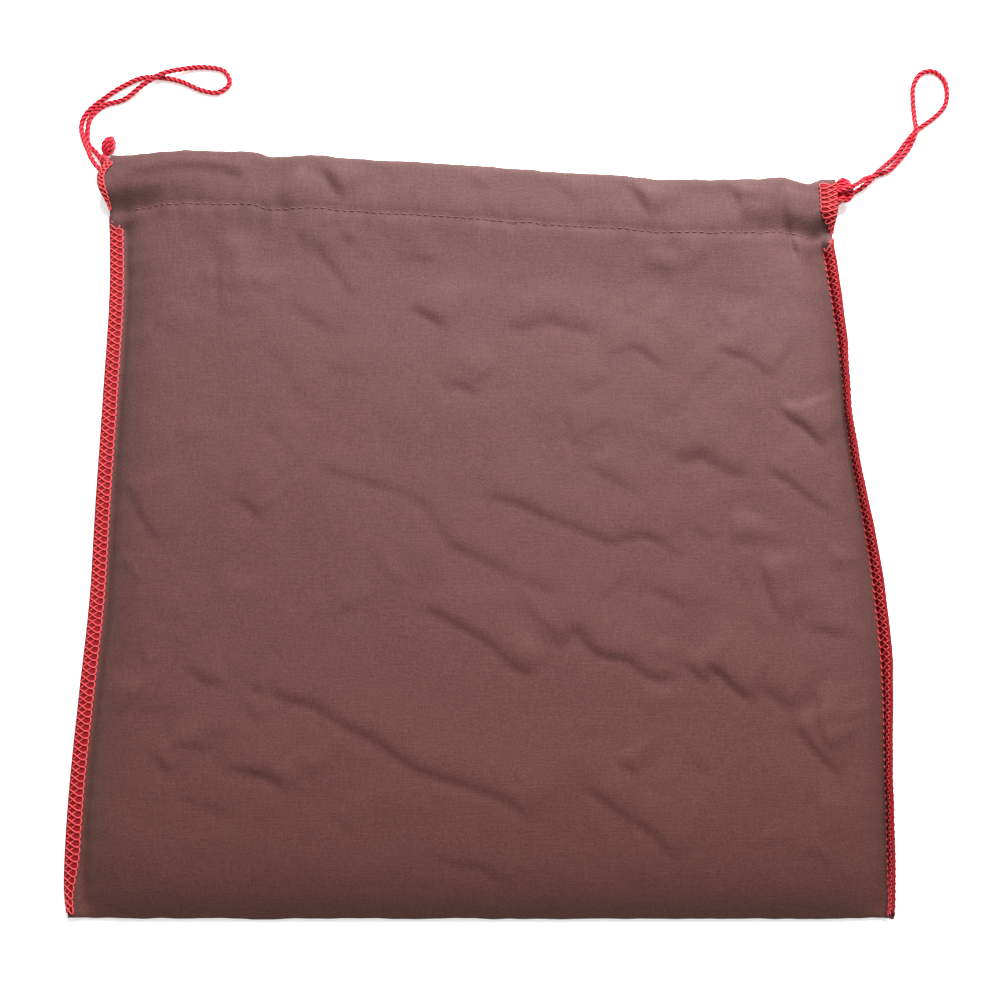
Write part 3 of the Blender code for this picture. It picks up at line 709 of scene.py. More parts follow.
def top_line(x):
    """Y of the top fold, with its small scallops."""
    scallops = 0.4 * soft_noise(x, 0.0, 5.0, 3.0) + 0.35 * soft_noise(x, 0.0, 12.0, 4.0)
    return TOP - smooth_line(TOP_LINE, x - LEFT) + scallops


def row_place(x, depth, above):
    """Y of a row at x, its depth below the fold and its height above the bottom."""
    top = top_line(x)
    if above is None:
        y = top - depth
    else:
        bottom = BOTTOM + 0.8 * soft_noise(x, 0.0, 18.0, 8.0) + 0.3 * soft_noise(x, 0.0, 6.0, 9.0)
        y = bottom + (top - SHOULDER_DEPTH - bottom) * above / PANEL_LENGTH
    return y, top - y, y - BOTTOM


def seam_place(side, depth, above_bottom):
    """X of a side's sewn line."""
    outside = LEFT if side < 0 else RIGHT
    seam_x = outside - side * smooth_line(SEAM_LINES[side], above_bottom)
    end_x = outside - side * (smooth_line(CASING_ENDS[side], depth) + FLANGE_WIDTH)
    share = smooth_step((depth - STITCH_DEPTH) / (SEAM_START_DEPTH - STITCH_DEPTH))
    return end_x + (seam_x - end_x) * share


def row_ends(depth, above):
    """X of both sewn lines on one row."""
    ends = []
    for side in (-1, 1):
        x = np.array([LEFT if side < 0 else RIGHT])
        for _ in range(4):
            _, here_depth, above_bottom = row_place(x, depth, above)
            x = seam_place(side, here_depth, above_bottom)
        ends.append(float(x[0]))
    return ends


def layer_height(layer, inside, depth, above_bottom):
    """Height of one layer of the folded cloth, without creases."""
    back = CLOTH_THICKNESS / 2 + EDGE_LIFT * np.maximum(0.0, 1 - inside / EDGE_LIFT_REACH) ** 2
    channel = CHANNEL_PITCH + (LAYER_PITCH - CHANNEL_PITCH) * smooth_step(
        (depth - CHANNEL_DEPTH) / (STITCH_DEPTH - CHANNEL_DEPTH))
    arch = np.sin(math.pi / 2 * np.minimum(1.0, inside / MOUTH_ARCH_REACH))
    puff = 1 - np.exp(-np.maximum(0.0, inside - PANEL_SIDE_START) / PANEL_SIDE_REACH)
    panel_share = smooth_step((depth - CHANNEL_DEPTH) / (SLOPE_DEPTH - CHANNEL_DEPTH))
    shape = arch + (puff - arch) * panel_share
    stack = 2 * channel + MOUTH_EDGE_PITCH
    top_rise = 2 * CHANNEL_PITCH + MOUTH_EDGE_PITCH + MOUTH_RISE
    middle = top_rise + (LAYER_PITCH + PANEL_RISE - top_rise) * panel_share
    seam_share = smooth_step((depth - HEM_DEPTH) / (SEAM_START_DEPTH - HEM_DEPTH))
    edge = stack + (LAYER_PITCH - stack) * seam_share
    bottom = 1 - np.exp(-above_bottom / PANEL_BOTTOM_REACH)
    rise = edge + (middle - edge) * shape * bottom
    least = LAYER_PITCH + (BOTTOM_FOLD_GAP - LAYER_PITCH) * smooth_step(inside / BOTTOM_FOLD_REACH)
    rise = np.where(seam_share >= 1.0, np.maximum(rise, least), rise)
    return (back, back + channel, back + rise - channel, back + rise)[layer]


def crease_height(x, y, crease, share):
    """Height that one crease adds: a steep side up from its foot, a soft side beyond, and a slight groove."""
    (height, soft, steep), points = crease
    route = smooth_route(points, 3.0)
    along = route_distances(route)
    height *= 1.0 + 0.6 * abs(points[-1][1] - points[0][1]) / along[-1]
    nearest = np.full(x.shape, np.inf)
    across = np.zeros(x.shape)
    reached = np.zeros(x.shape)
    for start, end, distance in zip(route[:-1], route[1:], along):
        step = end - start
        length = np.hypot(*step)
        t = np.clip(((x - start[0]) * step[0] + (y - start[1]) * step[1]) / length ** 2, 0, 1)
        off_x = x - start[0] - t * step[0]
        off_y = y - start[1] - t * step[1]
        away = np.hypot(off_x, off_y)
        side = np.where(step[0] * off_y - step[1] * off_x >= 0, 1.0, -1.0)
        closer = away < nearest
        nearest = np.where(closer, away, nearest)
        across = np.where(closer, away * side, across)
        reached = np.where(closer, distance + t * length, reached)
    ends = smooth_step(np.minimum(reached, along[-1] - reached) / min(8.0, 0.4 * along[-1]))
    uneven = 1.0 + 0.45 * soft_noise(route[:, 0], route[:, 1], 9.0, 41.0)
    ends = ends * np.interp(reached, along, uneven)
    rise = np.sin(math.pi / 2 * np.clip(across / steep, 0, 1))
    rise = np.where(across > steep, np.exp(-((across - steep) / soft) ** 2), rise)
    groove = CREASE_GROOVE * np.exp(-np.abs(across) / steep)
    return share * height * ends * (rise - groove)


def front_relief(x, y, inside, depth, settings):
    """Creases, small wrinkles and puckers of the front, as heights."""
    relief = np.zeros(x.shape)
    for crease in CREASES:
        relief += crease_height(x, y, crease, settings.crease_height)
    broad = soft_noise(x, y, 34.0, 1.0)
    small = soft_noise(x + 6 * broad, y - 9 * broad, 11.0, 5.0)
    fine = soft_noise(x + 3 * small, y + 4 * small, 5.0, 23.0)
    relief += settings.wrinkle_height * (0.9 * broad + 0.35 * small + 0.12 * fine)
    relief *= smooth_step(inside / 7.0) * smooth_step((depth - 1.6) / 5.0)
    relief *= smooth_step((y - BOTTOM) / 14.0)
    stitched = np.exp(-((depth - STITCH_DEPTH) / 1.5) ** 2)
    puckers = soft_noise(x, depth / 3, 4.5, 11.0) * np.exp(-np.abs(depth - STITCH_DEPTH) / 7.0)
    relief += 0.6 * puckers - 0.4 * stitched
    gathers = soft_noise(y, 0.2 * inside, 5.5, 17.0) * np.exp(-inside / 8.0) * smooth_step(inside / 3.0)
    return relief + 0.6 * gathers


def flange_frame(side, depth, above_bottom):
    """Outward and upward directions of a seam's flange on each row."""
    turn = np.radians(smooth_line(FLANGE_TURNS[side], depth))
    waver = soft_noise(above_bottom, side, 13.0, 21.0) * smooth_step((depth - 30) / 20)
    turn = turn + np.radians(7.0) * waver
    zero = np.zeros(turn.shape)
    outward = np.stack([side * np.cos(turn), zero, np.sin(turn)], axis=-1)
    upward = np.stack([-side * np.sin(turn), zero, np.cos(turn)], axis=-1)
    return outward, upward


def column_shares(count):
    """Shares of the width for the columns, a little closer together at the sides."""
    even = np.linspace(0, 1, count)
    return even - 0.18 * np.sin(2 * math.pi * even) / (2 * math.pi)


def cloth_layer(rows, layer, settings):
    """Points of one layer, as rows by columns by 3, with both flanges' columns at the ends."""
    shares = column_shares(settings.columns)
    ends = np.array([row_ends(depth, above) for depth, above in rows])
    x = ends[:, :1] + (ends[:, 1:] - ends[:, :1]) * shares
    places = [row_place(row_x, depth, above) for row_x, (depth, above) in zip(x, rows)]
    y, deep, above_bottom = (np.array(part) for part in zip(*places))
    inside = np.minimum(x - ends[:, :1], ends[:, 1:] - x)
    z = layer_height(layer, inside, deep, above_bottom)
    if layer == FRONT:
        z = z + front_relief(x, y, inside, deep, settings)
    if layer == BACK:
        z = z + 0.5 * np.abs(soft_noise(x, y, 21.0, 31.0)) * smooth_step(inside / 12)
    points = np.stack([x, y, z], axis=-1)
    flanges = {}
    for side, column in ((-1, 0), (1, -1)):
        edge_depth = deep[:, column]
        edge_above = above_bottom[:, column]
        outward, upward = flange_frame(side, edge_depth, edge_above)
        back = layer_height(BACK, 0.0, edge_depth, edge_above)
        front = layer_height(FRONT, 0.0, edge_depth, edge_above)
        centre = np.stack([x[:, column], y[:, column], (back + front) / 2], axis=-1)
        off = (layer_height(layer, 0.0, edge_depth, edge_above) - centre[:, 2])[:, None]
        halfway = unit(upward + (0, 0, 1))
        points[:, column] = centre + halfway * off / halfway[:, 2:]
        flanges[side] = [
            centre + outward * FLANGE_WIDTH * share + upward * off for share in (1.0, 0.66, 0.33)]
    left = np.stack(flanges[-1], axis=1)
    right = np.stack(flanges[1][::-1], axis=1)
    return np.concatenate([left, points, right], axis=1)


def fold_rows(first, last, forward, count=3):
    """Rows round a fold between two layers, bulging along Y."""
    centre = (first + last) / 2
    arm = (first - last) / 2
    reach = np.linalg.norm(arm, axis=-1, keepdims=True)
    rows = []
    for step in range(1, count + 1):
        angle = math.pi * step / (count + 1)
        rows.append(centre + arm * math.cos(angle) + reach * math.sin(angle) * np.array((0, forward, 0)))
    return np.array(rows)


def row_list(panel_rows):
    """Rows of an outer layer from the top fold to the bottom fold, as (depth, None) or (0, height above)."""
    spacing = PANEL_LENGTH / panel_rows
    casing = np.linspace(CHANNEL_PITCH / 2, STITCH_DEPTH, max(6, round(CASING_ROWS_LENGTH / spacing)))
    shoulder = np.linspace(STITCH_DEPTH, SHOULDER_DEPTH, max(8, round(SHOULDER_ROWS_LENGTH / spacing)))[1:]
    shares = np.linspace(1, 0, panel_rows)[1:]
    panel = BOTTOM_FOLD_START + (PANEL_LENGTH - BOTTOM_FOLD_START) * shares
    return [(depth, None) for depth in (*casing, *shoulder)] + [(0.0, above) for above in panel]


def cloth_points(settings):
    """The whole strip of cloth, from the front hem's raw edge round the bag to the back hem's."""
    hem_rows = [(depth, None) for depth in np.linspace(HEM_DEPTH, CHANNEL_PITCH / 2, 8)]
    front_hem = cloth_layer(hem_rows, FRONT_HEM, settings)
    front = cloth_layer(row_list(settings.rows), FRONT, settings)
    back = cloth_layer(row_list(settings.rows // 4)[::-1], BACK, settings)
    back_hem = cloth_layer(hem_rows[::-1], BACK_HEM, settings)
    return np.concatenate([
        front_hem, fold_rows(front_hem[-1], front[0], 1), front, fold_rows(front[-1], back[0], -1),
        back, fold_rows(back[-1], back_hem[0], 1), back_hem])


def make_cloth(settings):
    """The folded strip of cotton with its thickness."""
    points = cloth_points(settings)
    rows, columns = points.shape[:2]
    cloth = add_mesh(
        "cotton_pouch", points.reshape(-1, 3), grid_faces(rows, columns), cloth_material(settings.colour))
    solidify = cloth.modifiers.new("Thickness", "SOLIDIFY")
    solidify.thickness = CLOTH_THICKNESS * MM
    solidify.offset = 0.0
    solidify.use_even_offset = True
    finish_piece(cloth, "cloth", "pouch_cloth")
    return cloth


# ---------------------------------------------------------------------------------------------------------
# Cords and knots
# ---------------------------------------------------------------------------------------------------------


def twisted_cord(name, route, settings, material):
    """Three plies twisted round a route, as one mesh with a strand UV map and a crest on each point, which
    the material turns into painted shade between the plies.
    """
    ply_radius = PLY_SWELL * settings.diameter / 2 / (1 + 2 / math.sqrt(3))
    twist_radius = ply_radius * 2 / math.sqrt(3)
    vertices, faces, coordinates, crests = [], [], [], []
    around = np.linspace(0, 2 * math.pi, PLY_SIDES, endpoint=False)
    centre = smooth_route(route, settings.twist_length / 12)
    along = route_distances(centre)
    _, normals, binormals = line_frames(centre)
    for ply in range(PLIES):
        angle = (2 * math.pi * (along / settings.twist_length + ply / PLIES))[:, None]
        strand = centre + twist_radius * (normals * np.cos(angle) + binormals * np.sin(angle))
        _, across, over = line_frames(strand)
        rings = strand[:, None] + ply_radius * (
            across[:, None] * np.cos(around)[:, None] + over[:, None] * np.sin(around)[:, None])
        faces += tube_faces(len(vertices), len(rings), PLY_SIDES)
        vertices.extend(rings.reshape(-1, 3))
        # Crest: how far out each point lies, the mask of the painted shade between the plies.
        reach = np.linalg.norm(rings - centre[:, None], axis=2).ravel()
        crests.extend(reach / (twist_radius + ply_radius))
        for low, high in zip(along[:-1] / 2, along[1:] / 2):
            for side in range(PLY_SIDES):
                first, second = side / PLY_SIDES, (side + 1) / PLY_SIDES
                coordinates += [(first, low), (second, low), (second, high), (first, high)]
        coordinates += [(0.5, 0.0)] * (2 * PLY_SIDES)
    cord = add_mesh(name, vertices, faces, material)
    layer = cord.data.uv_layers.new(name="strand")
    layer.data.foreach_set("uv", np.array(coordinates).ravel())
    cord.data.attributes.new("crest", "FLOAT", "POINT").data.foreach_set("value", np.array(crests))
    return cord


def knot_route(centre, halves, turns, turn):
    """Route of a tight knot: lengthwise turns side by side round a rounded body, poles along its own X."""
    t = np.linspace(0, 1, 14 * turns)
    lengthwise = 2 * math.pi * turns * t
    round_body = math.pi * t
    bulge = 1.0 + 0.12 * np.sin(lengthwise * 0.5 + 1.0)
    points = np.stack([
        np.cos(lengthwise), np.sin(lengthwise) * np.cos(round_body) * bulge,
        np.sin(lengthwise) * np.sin(round_body) * bulge], axis=1) * np.array(halves)
    cosine, sine = math.cos(turn), math.sin(turn)
    rotation = np.array([[cosine, -sine, 0], [sine, cosine, 0], [0, 0, 1]])
    return points @ rotation.T + np.array(centre)


def make_cords(settings):
    """Both cords and the knots that tie their ends."""
    material = fibre_material("silky_cord", settings.colour, 1.25, 0.7, 0.42, 5.0)
    for side_name, (halves, turns, turn, shift) in KNOTS.items():
        low, high = (np.array(corner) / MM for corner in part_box(f"knot_{side_name}"))
        route = knot_route((low + high) / 2 + np.array(shift), halves, turns, math.radians(turn))
        knot = twisted_cord(f"cord_knot_{side_name}", route, settings, material)
        finish_piece(knot, "cord", f"knot_{side_name}")
    cords = (("left", LEFT_LOOP_CORD, "right"), ("right", RIGHT_LOOP_CORD, "left"))
    for side_name, route, knot_side in cords:
        cord = twisted_cord(f"drawcord_{side_name}", route, settings, material)
        finish_piece(cord, "cord", f"cord_{side_name}_loop")
        line = smooth_route(route, 2.0)


# ---------------------------------------------------------------------------------------------------------
# Threads
# ---------------------------------------------------------------------------------------------------------


def start_thread_tree(name, lengths):
    """Node tree for a thread: its inputs, its guide as a curve and each point's place in its stitch."""
    tree = bpy.data.node_groups.new(name, "GeometryNodeTree")
    tree.interface.new_socket("Geometry", in_out="INPUT", socket_type="NodeSocketGeometry")
    for label in ("Stitches", "Points"):
        tree.interface.new_socket(label, in_out="INPUT", socket_type="NodeSocketInt")
    for label in lengths:
        tree.interface.new_socket(label, in_out="INPUT", socket_type="NodeSocketFloat")
    tree.interface.new_socket("Geometry", in_out="OUTPUT", socket_type="NodeSocketGeometry")
    given = add_node(tree, "NodeGroupInput").outputs
    guide = add_node(tree, "GeometryNodeMeshToCurve", {"Mesh": given["Geometry"]}).outputs[0]
    count = calculate(tree, "MULTIPLY", given["Stitches"], given["Points"])
    line = add_node(
        tree, "GeometryNodeResampleCurve", {"Curve": guide, "Count": count}, mode="COUNT").outputs[0]
    index = add_node(tree, "GeometryNodeInputIndex").outputs[0]
    phase = calculate(tree, "FRACT", calculate(tree, "DIVIDE", index, given["Points"]))
    return tree, given, guide, line, phase


def finish_thread_tree(tree, line, offset, radius, sides, material):
    """Move a thread's line, and give it its round section and its material."""
    moved = add_node(tree, "GeometryNodeSetPosition", {"Geometry": line, "Offset": offset})
    profile = add_node(tree, "GeometryNodeCurvePrimitiveCircle", {"Resolution": sides, "Radius": radius})
    tube = add_node(tree, "GeometryNodeCurveToMesh", {
        "Curve": moved.outputs[0], "Profile Curve": profile.outputs[0], "Fill Caps": True})
    smooth = add_node(tree, "GeometryNodeSetShadeSmooth", {
        "Geometry": tube.outputs[0], "Shade Smooth": True})
    real = add_node(tree, "GeometryNodeRealizeInstances", {"Geometry": smooth.outputs[0]})
    done = add_node(tree, "GeometryNodeSetMaterial", {"Geometry": real.outputs[0], "Material": material})
    add_node(tree, "NodeGroupOutput", {"Geometry": done.outputs[0]})


def guide_attribute(tree, label, kind):
    """Value that the guide line's points carry."""
    return add_node(tree, "GeometryNodeInputNamedAttribute", {"Name": label}, data_type=kind).outputs[0]


def thread_tree(name, material, underside):
    """Geometry Nodes that lay an overlock thread along a guide line.

    The guide's points carry outward and upward directions, the width of the seam and half its thickness. The
    thread comes round the edge, swings in as a loop that overlaps its neighbours and goes back to the edge.
    """
    tree, given, guide, line, phase = start_thread_tree(name, ("Thread Radius", "Loop Overlap"))
    radius = given["Thread Radius"]

    def math_node(operation, *values):
        return calculate(tree, operation, *values)

    length = add_node(tree, "GeometryNodeCurveLength", {"Curve": guide}).outputs[0]
    pitch = math_node("DIVIDE", length, given["Stitches"])
    if underside:
        phase = math_node("FRACT", math_node("ADD", phase, 0.5))
    turn = math_node("MULTIPLY", phase, 2 * math.pi)
    reach = math_node("MULTIPLY", math_node("SUBTRACT", 1.0, math_node("COSINE", turn)), 0.5)
    swing = math_node("MULTIPLY", math_node("SINE", turn), reach)
    swing = math_node("MULTIPLY", swing, given["Loop Overlap"])
    width = guide_attribute(tree, "seam_width", "FLOAT")
    inward = math_node("SUBTRACT", math_node("MULTIPLY", reach, width), radius)
    edge_share = math_node("MINIMUM", math_node("DIVIDE", reach, 0.12), 1.0)
    flatness = math_node("POWER", math_node("SUBTRACT", 1.0, edge_share), 2.0)
    edge_turn = math_node("SQRT", math_node("SUBTRACT", 1.0, flatness))
    waves = math_node("MULTIPLY", math_node("SINE", turn), 0.6)
    lift = math_node("MULTIPLY", radius, math_node("ADD", 0.85, waves))
    half = guide_attribute(tree, "half_thickness", "FLOAT")
    height = math_node("MULTIPLY", math_node("ADD", half, lift), edge_turn)
    if underside:
        height = math_node("MULTIPLY", height, -1.0)
    tangent = add_node(tree, "GeometryNodeInputTangent").outputs[0]
    outward = guide_attribute(tree, "outward", "FLOAT_VECTOR")
    upward = guide_attribute(tree, "upward", "FLOAT_VECTOR")
    offset = combine(tree, "SCALE", outward, math_node("MULTIPLY", inward, -1.0))
    rise = combine(tree, "SCALE", upward, height)
    sideways = combine(tree, "SCALE", tangent, math_node("MULTIPLY", swing, pitch))
    offset = combine(tree, "ADD", combine(tree, "ADD", offset, rise), sideways)
    finish_thread_tree(tree, line, offset, radius, LOOP_SIDES, material)
    return tree


def guide_line(name, points, vectors, numbers):
    """Chain of edges whose points carry named directions in the frame and named lengths."""
    mesh = bpy.data.meshes.new(name)
    edges = [(i, i + 1) for i in range(len(points) - 1)]
    mesh.from_pydata([tuple(point) for point in points * MM], edges, [])
    for label, values in vectors.items():
        mesh.attributes.new(label, "FLOAT_VECTOR", "POINT").data.foreach_set("vector", values.ravel())
    for label, values in numbers.items():
        mesh.attributes.new(label, "FLOAT", "POINT").data.foreach_set("value", values * MM)
    guide = bpy.data.objects.new(name, mesh)
    bpy.context.scene.collection.objects.link(guide)
    return guide


def bake_nodes(guide, tree, inputs):
    """Run a node tree on an object and keep the result as a plain mesh object."""
    modifier = guide.modifiers.new("Thread", "NODES")
    modifier.node_group = tree
    for item in tree.interface.items_tree:
        if item.in_out == "INPUT" and item.name in inputs:
            modifier[item.identifier] = inputs[item.name]
    evaluated = guide.evaluated_get(bpy.context.evaluated_depsgraph_get())
    mesh = bpy.data.meshes.new_from_object(evaluated)
    result = bpy.data.objects.new(tree.name, mesh)
    bpy.context.scene.collection.objects.link(result)
    bpy.data.objects.remove(guide, do_unlink=True)
    return result


def wrapped_strip(name, guide, width, half, material):
    """Packed thread under the loops, a thin closed shell from one face round the edge to the other."""
    points, outward, upward = guide
    outer, inner = [], []
    for bend, height in FILL_SECTION:
        along = (-0.9 * width if abs(height) == 1.0 else bend * half * 0.6)[:, None]
        raised = (height * (half + FILL_WALL))[:, None]
        outer.append(points + outward * (along + FILL_WALL) + upward * raised)
        inner.append(points + outward * along + upward * (height * half)[:, None])
    sections = np.stack(outer + inner[::-1], axis=1)
    faces = tube_faces(0, len(points), sections.shape[1])
    return add_mesh(name, sections.reshape(-1, 3), faces, material)


def overlock(name, guide, width, half, pitch, settings, materials, nodes):
    """Overlocked edge along a guide: packed thread with looped threads on both faces."""
    points, outward, upward = guide
    thread, fill = materials
    stitches = max(3, round(route_distances(points)[-1] / pitch))
    # The packed thread takes the darker fill material, which paints shade into the gaps between the loops.
    parts = [wrapped_strip(name, guide, width, half, fill)]
    for face, underside in (("upper", False), ("under", True)):
        tree = thread_tree(f"{name}_{face}", thread, underside)
        line = guide_line(
            f"{name}_guide", points, {"outward": outward, "upward": upward},
            {"seam_width": width, "half_thickness": half})
        parts.append(bake_nodes(line, tree, {
            "Stitches": stitches, "Points": LOOP_POINTS, "Thread Radius": settings.thread_radius * MM,
            "Loop Overlap": settings.loop_overlap}))
    piece = join_pieces(name, parts)
    finish_piece(piece, "overlock_thread", *nodes)
    return piece


def side_guide(side, cloth_settings):
    """Edge of a side seam from the casing to the bottom, with its directions."""
    rows = [(depth, None) for depth in np.linspace(SEAM_START_DEPTH - SIDE_SEAM_LEAD, SHOULDER_DEPTH, 20)]
    rows += [(0.0, above) for above in np.linspace(PANEL_LENGTH, SIDE_SEAM_STOP, 110)[1:]]
    column, seam = (0, 3) if side < 0 else (-1, -4)
    front = cloth_layer(rows, FRONT, cloth_settings)
    back = cloth_layer(rows, BACK, cloth_settings)
    tip = (front[:, column] + back[:, column]) / 2
    root = (front[:, seam] + back[:, seam]) / 2
    outward = unit(tip - root)
    upward = unit(front[:, column] - back[:, column])
    return tip, outward, upward


def casing_guide(side, layer, cloth_settings):
    """Edge of one casing layer's end, with its directions."""
    facing = 1 if layer == FRONT else -1
    rows = [(depth, None) for depth in np.linspace(CASING_END_START, CASING_END_STOP, 16)]
    edge = cloth_layer(rows, layer, cloth_settings)[:, 0 if side < 0 else -1]
    tangent = unit(np.gradient(edge, axis=0))
    outward = np.broadcast_to(np.array((side, 0.0, 0.0)), edge.shape)
    outward = unit(outward - tangent * np.sum(outward * tangent, axis=1, keepdims=True))
    upward = np.cross(outward, tangent)
    upward = upward * (np.sign(upward[:, 2:]) * facing)
    return edge, outward, upward


def make_side_overlocks(settings, cloth_settings, materials):
    """Looped thread down both side seams."""
    for side_name, side in (("left", -1), ("right", 1)):
        guide = side_guide(side, cloth_settings)
        along = route_distances(guide[0])
        taper = smooth_step(along / 6.0) * (0.3 + 0.7 * smooth_step((along[-1] - along) / 22.0))
        width = 1.2 + (FLANGE_WIDTH - 1.0) * taper
        half = np.full(width.shape, (LAYER_PITCH + CLOTH_THICKNESS) / 2)
        overlock(
            f"side_seam_{side_name}", guide, width, half, settings.side_pitch, settings, materials,
            [f"side_overlock_{side_name}"])


def make_casing_overlocks(settings, cloth_settings, materials):
    """Looped thread on the ends of both casings: narrow at the left, wide at the right."""
    for side_name, side in (("left", -1), ("right", 1)):
        for face_name, layer in (("front", FRONT), ("back", BACK)):
            guide = casing_guide(side, layer, cloth_settings)
            along = route_distances(guide[0])
            width = 1.0 + (CASING_END_WIDTHS[side_name] - 1.0) * smooth_step((along[-1] - along) / 10.0)
            half = np.full(width.shape, CLOTH_THICKNESS / 2 + CASING_END_SWELL)
            overlock(
                f"casing_end_{face_name}_{side_name}", guide, width, half, settings.casing_pitch, settings,
                materials, [f"casing_overlock_{face_name}_{side_name}"])


def stitch_tree(name, material):
    """Geometry Nodes that run a straight-stitch thread in and out of the cloth along a guide line."""
    tree, given, _, line, phase = start_thread_tree(name, ("Thread Radius",))
    radius = given["Thread Radius"]
    wave = calculate(tree, "COSINE", calculate(tree, "MULTIPLY", phase, math.pi))
    swing = calculate(tree, "POWER", calculate(tree, "ABSOLUTE", wave), 7.0)
    sunk = calculate(tree, "SUBTRACT", 0.9, calculate(tree, "MULTIPLY", swing, 5.0))
    upward = guide_attribute(tree, "upward", "FLOAT_VECTOR")
    offset = combine(tree, "SCALE", upward, calculate(tree, "MULTIPLY", radius, sunk))
    finish_thread_tree(tree, line, offset, radius, STITCH_SIDES, material)
    return tree


def make_casing_stitches(settings, cloth_settings):
    """One row of straight stitches under each casing."""
    material = thread_material("stitch_thread", settings.stitch_colour, 0.7)
    for face_name, layer in (("front", FRONT), ("back", BACK_HEM)):
        row = cloth_layer([(STITCH_DEPTH, None)], layer, cloth_settings)[0]
        points = row[STITCH_END_COLUMNS:-STITCH_END_COLUMNS] + np.array((0, 0, CLOTH_THICKNESS / 2))
        upward = np.broadcast_to(np.array((0.0, 0.0, 1.0)), points.shape).copy()
        stitches = round(route_distances(points)[-1] / settings.straight_pitch)
        line = guide_line(f"casing_guide_{face_name}", points, {"upward": upward}, {})
        piece = bake_nodes(line, stitch_tree(f"casing_stitches_{face_name}", material), {
            "Stitches": stitches, "Points": STITCH_POINTS, "Thread Radius": STITCH_RADIUS * MM})
        finish_piece(piece, "stitch_thread", f"casing_stitch_{face_name}")


# ---------------------------------------------------------------------------------------------------------
# Stage
# ---------------------------------------------------------------------------------------------------------


def add_light(name, place, target, size, power, colour):
    """Square soft light aimed at a point, in metres."""
    data = bpy.data.lights.new(name, "AREA")
    data.shape = "SQUARE"
    data.size = size
    data.energy = power
    data.color = colour
    light = bpy.data.objects.new(name, data)
    light.location = place
    light.rotation_euler = (Vector(target) - Vector(place)).to_track_quat("-Z", "Y").to_euler()
    bpy.context.scene.collection.objects.link(light)


def set_stage(settings):
    """Pale floor, soft light from beyond the mouth, and the camera."""
    centre = (CAD_BOX[0] + CAD_BOX[1]) / 2
    low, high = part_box("pouch_cloth")
    aim = Vector(((low.x + high.x) / 2 + AIM_SHIFT[0], (low.y + high.y) / 2 + AIM_SHIFT[1], 0.0))
    bpy.ops.mesh.primitive_plane_add(size=6.0, location=(centre.x, centre.y, 0.0))
    floor = bpy.context.active_object
    floor.name = "floor"
    floor.data.materials.append(floor_material(settings.floor_colour))
    add_light("key_light", LIGHT_PLACE, aim, LIGHT_SIZE, LIGHT_POWER, (1.0, 0.99, 0.97))
    world = bpy.data.worlds.new("studio")
    world.use_nodes = True
    background = world.node_tree.nodes["Background"]
    background.inputs["Color"].default_value = (0.97, 0.985, 1.0, 1.0)
    background.inputs["Strength"].default_value = 0.55
    bpy.context.scene.world = world
    bpy.context.scene.view_settings.view_transform = "Standard"
    data = bpy.data.cameras.new("camera")
    data.angle = settings.camera_field
    data.clip_start = 0.01
    camera = bpy.data.objects.new("camera", data)
    tilt = settings.camera_tilt
    distance = settings.camera_distance
    camera.location = aim + Vector((0, -distance * math.sin(tilt), distance * math.cos(tilt)))
    camera.rotation_euler = (tilt, 0, 0)
    bpy.context.scene.collection.objects.link(camera)
    bpy.context.scene.camera = camera


# ---------------------------------------------------------------------------------------------------------
# Operators, panel and registration
# ---------------------------------------------------------------------------------------------------------


class POUCH_OT_cords(bpy.types.Operator):
    """Lay both drawcords and tie their knots"""

    bl_idname = "pouch.cords"
    bl_label = "Cords and Knots"

    def execute(self, context):
        make_cords(context.scene.pouch_cords)
        return {"FINISHED"}


class POUCH_OT_cloth(bpy.types.Operator):
    """Fold the cotton into the bag, with its casings and creases"""

    bl_idname = "pouch.cloth"
    bl_label = "Cloth"

    def execute(self, context):
        make_cloth(context.scene.pouch_cloth)
        return {"FINISHED"}


class POUCH_OT_overlocks(bpy.types.Operator):
    """Overlock the side seams and the casings' ends"""

    bl_idname = "pouch.overlocks"
    bl_label = "Overlocked Edges"

    def execute(self, context):
        settings = context.scene.pouch_threads
        # The fill material is the packed thread darkened as painted shade in the gaps between the loops.
        materials = (thread_material("overlock_thread", settings.colour, 0.6),
                     thread_material("overlock_fill_painted_shade", settings.fill_shade_colour, 0.7))
        make_side_overlocks(settings, context.scene.pouch_cloth, materials)
        make_casing_overlocks(settings, context.scene.pouch_cloth, materials)
        return {"FINISHED"}


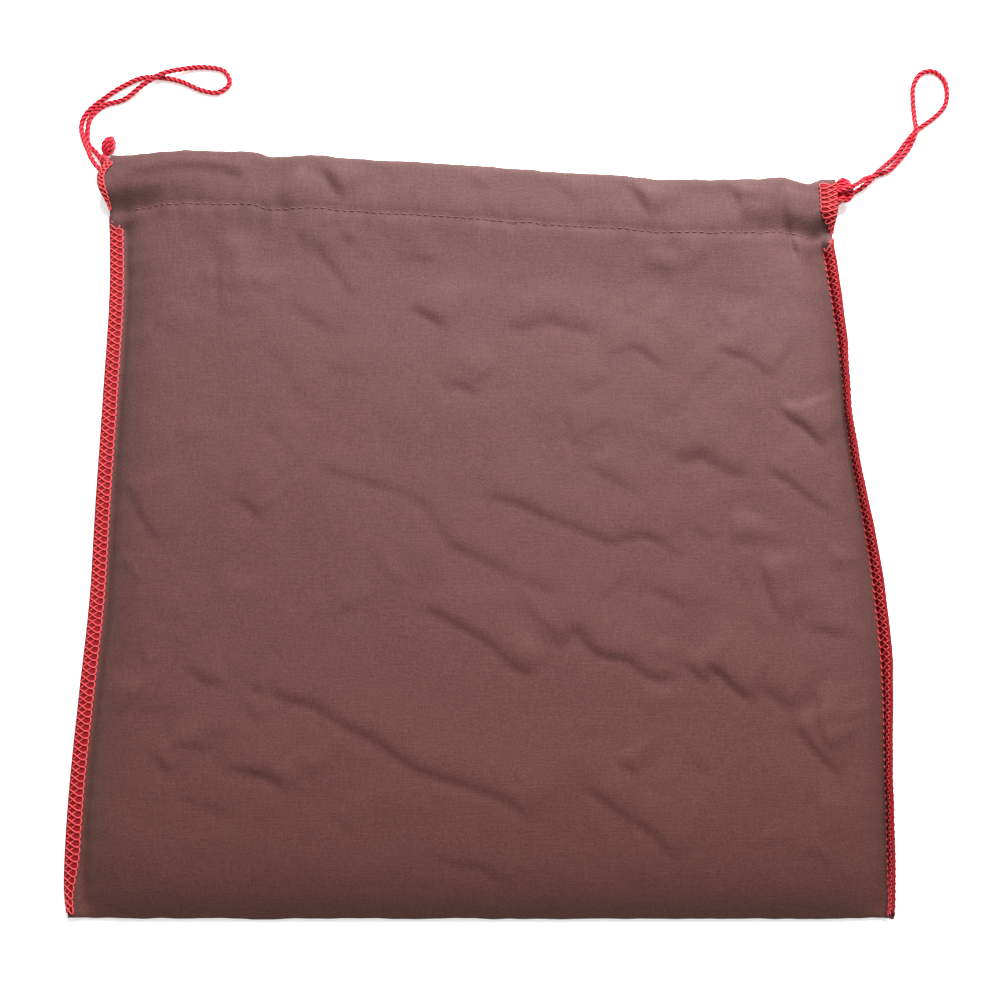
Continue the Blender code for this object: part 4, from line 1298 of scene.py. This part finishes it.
class POUCH_OT_stitches(bpy.types.Operator):
    """Sew one row of straight stitches under each casing"""

    bl_idname = "pouch.stitches"
    bl_label = "Casing Stitches"

    def execute(self, context):
        make_casing_stitches(context.scene.pouch_threads, context.scene.pouch_cloth)
        return {"FINISHED"}


class POUCH_OT_stage(bpy.types.Operator):
    """Set up the floor, the light and the camera"""

    bl_idname = "pouch.stage"
    bl_label = "Stage"

    def execute(self, context):
        set_stage(context.scene.pouch_stage)
        return {"FINISHED"}


class POUCH_PT_panel(bpy.types.Panel):
    """Pouch pieces in the sidebar"""

    bl_label = "Drawstring Pouch"
    bl_idname = "POUCH_PT_panel"
    bl_space_type = "VIEW_3D"
    bl_region_type = "UI"
    bl_category = "Pouch"

    def draw(self, context):
        for group, operators in PANEL_ROWS:
            box = self.layout.box()
            settings = getattr(context.scene, group)
            for label in settings.bl_rna.properties.keys():
                if label not in ("rna_type", "name"):
                    box.prop(settings, label)
            for operator in operators:
                box.operator(operator.bl_idname)


SETTINGS = {
    "pouch_cloth": PouchClothSettings,
    "pouch_threads": PouchThreadSettings,
    "pouch_cords": PouchCordSettings,
    "pouch_stage": PouchStageSettings,
}
PANEL_ROWS = [
    ("pouch_cords", [POUCH_OT_cords]),
    ("pouch_cloth", [POUCH_OT_cloth]),
    ("pouch_threads", [POUCH_OT_overlocks, POUCH_OT_stitches]),
    ("pouch_stage", [POUCH_OT_stage]),
]
OPERATORS = [operator for _, operators in PANEL_ROWS for operator in operators]


def register():
    for kind in [*SETTINGS.values(), *OPERATORS, POUCH_PT_panel]:
        bpy.utils.register_class(kind)
    for name, kind in SETTINGS.items():
        setattr(bpy.types.Scene, name, PointerProperty(type=kind))


def unregister():
    for name in SETTINGS:
        delattr(bpy.types.Scene, name)
    for kind in reversed([*SETTINGS.values(), *OPERATORS, POUCH_PT_panel]):
        bpy.utils.unregister_class(kind)


def main():
    register()
    bpy.ops.pouch.stage()
    bpy.ops.pouch.cords()
    bpy.ops.pouch.cloth()
    bpy.ops.pouch.overlocks()
    bpy.ops.pouch.stitches()


if __name__ == "__main__":
    main()
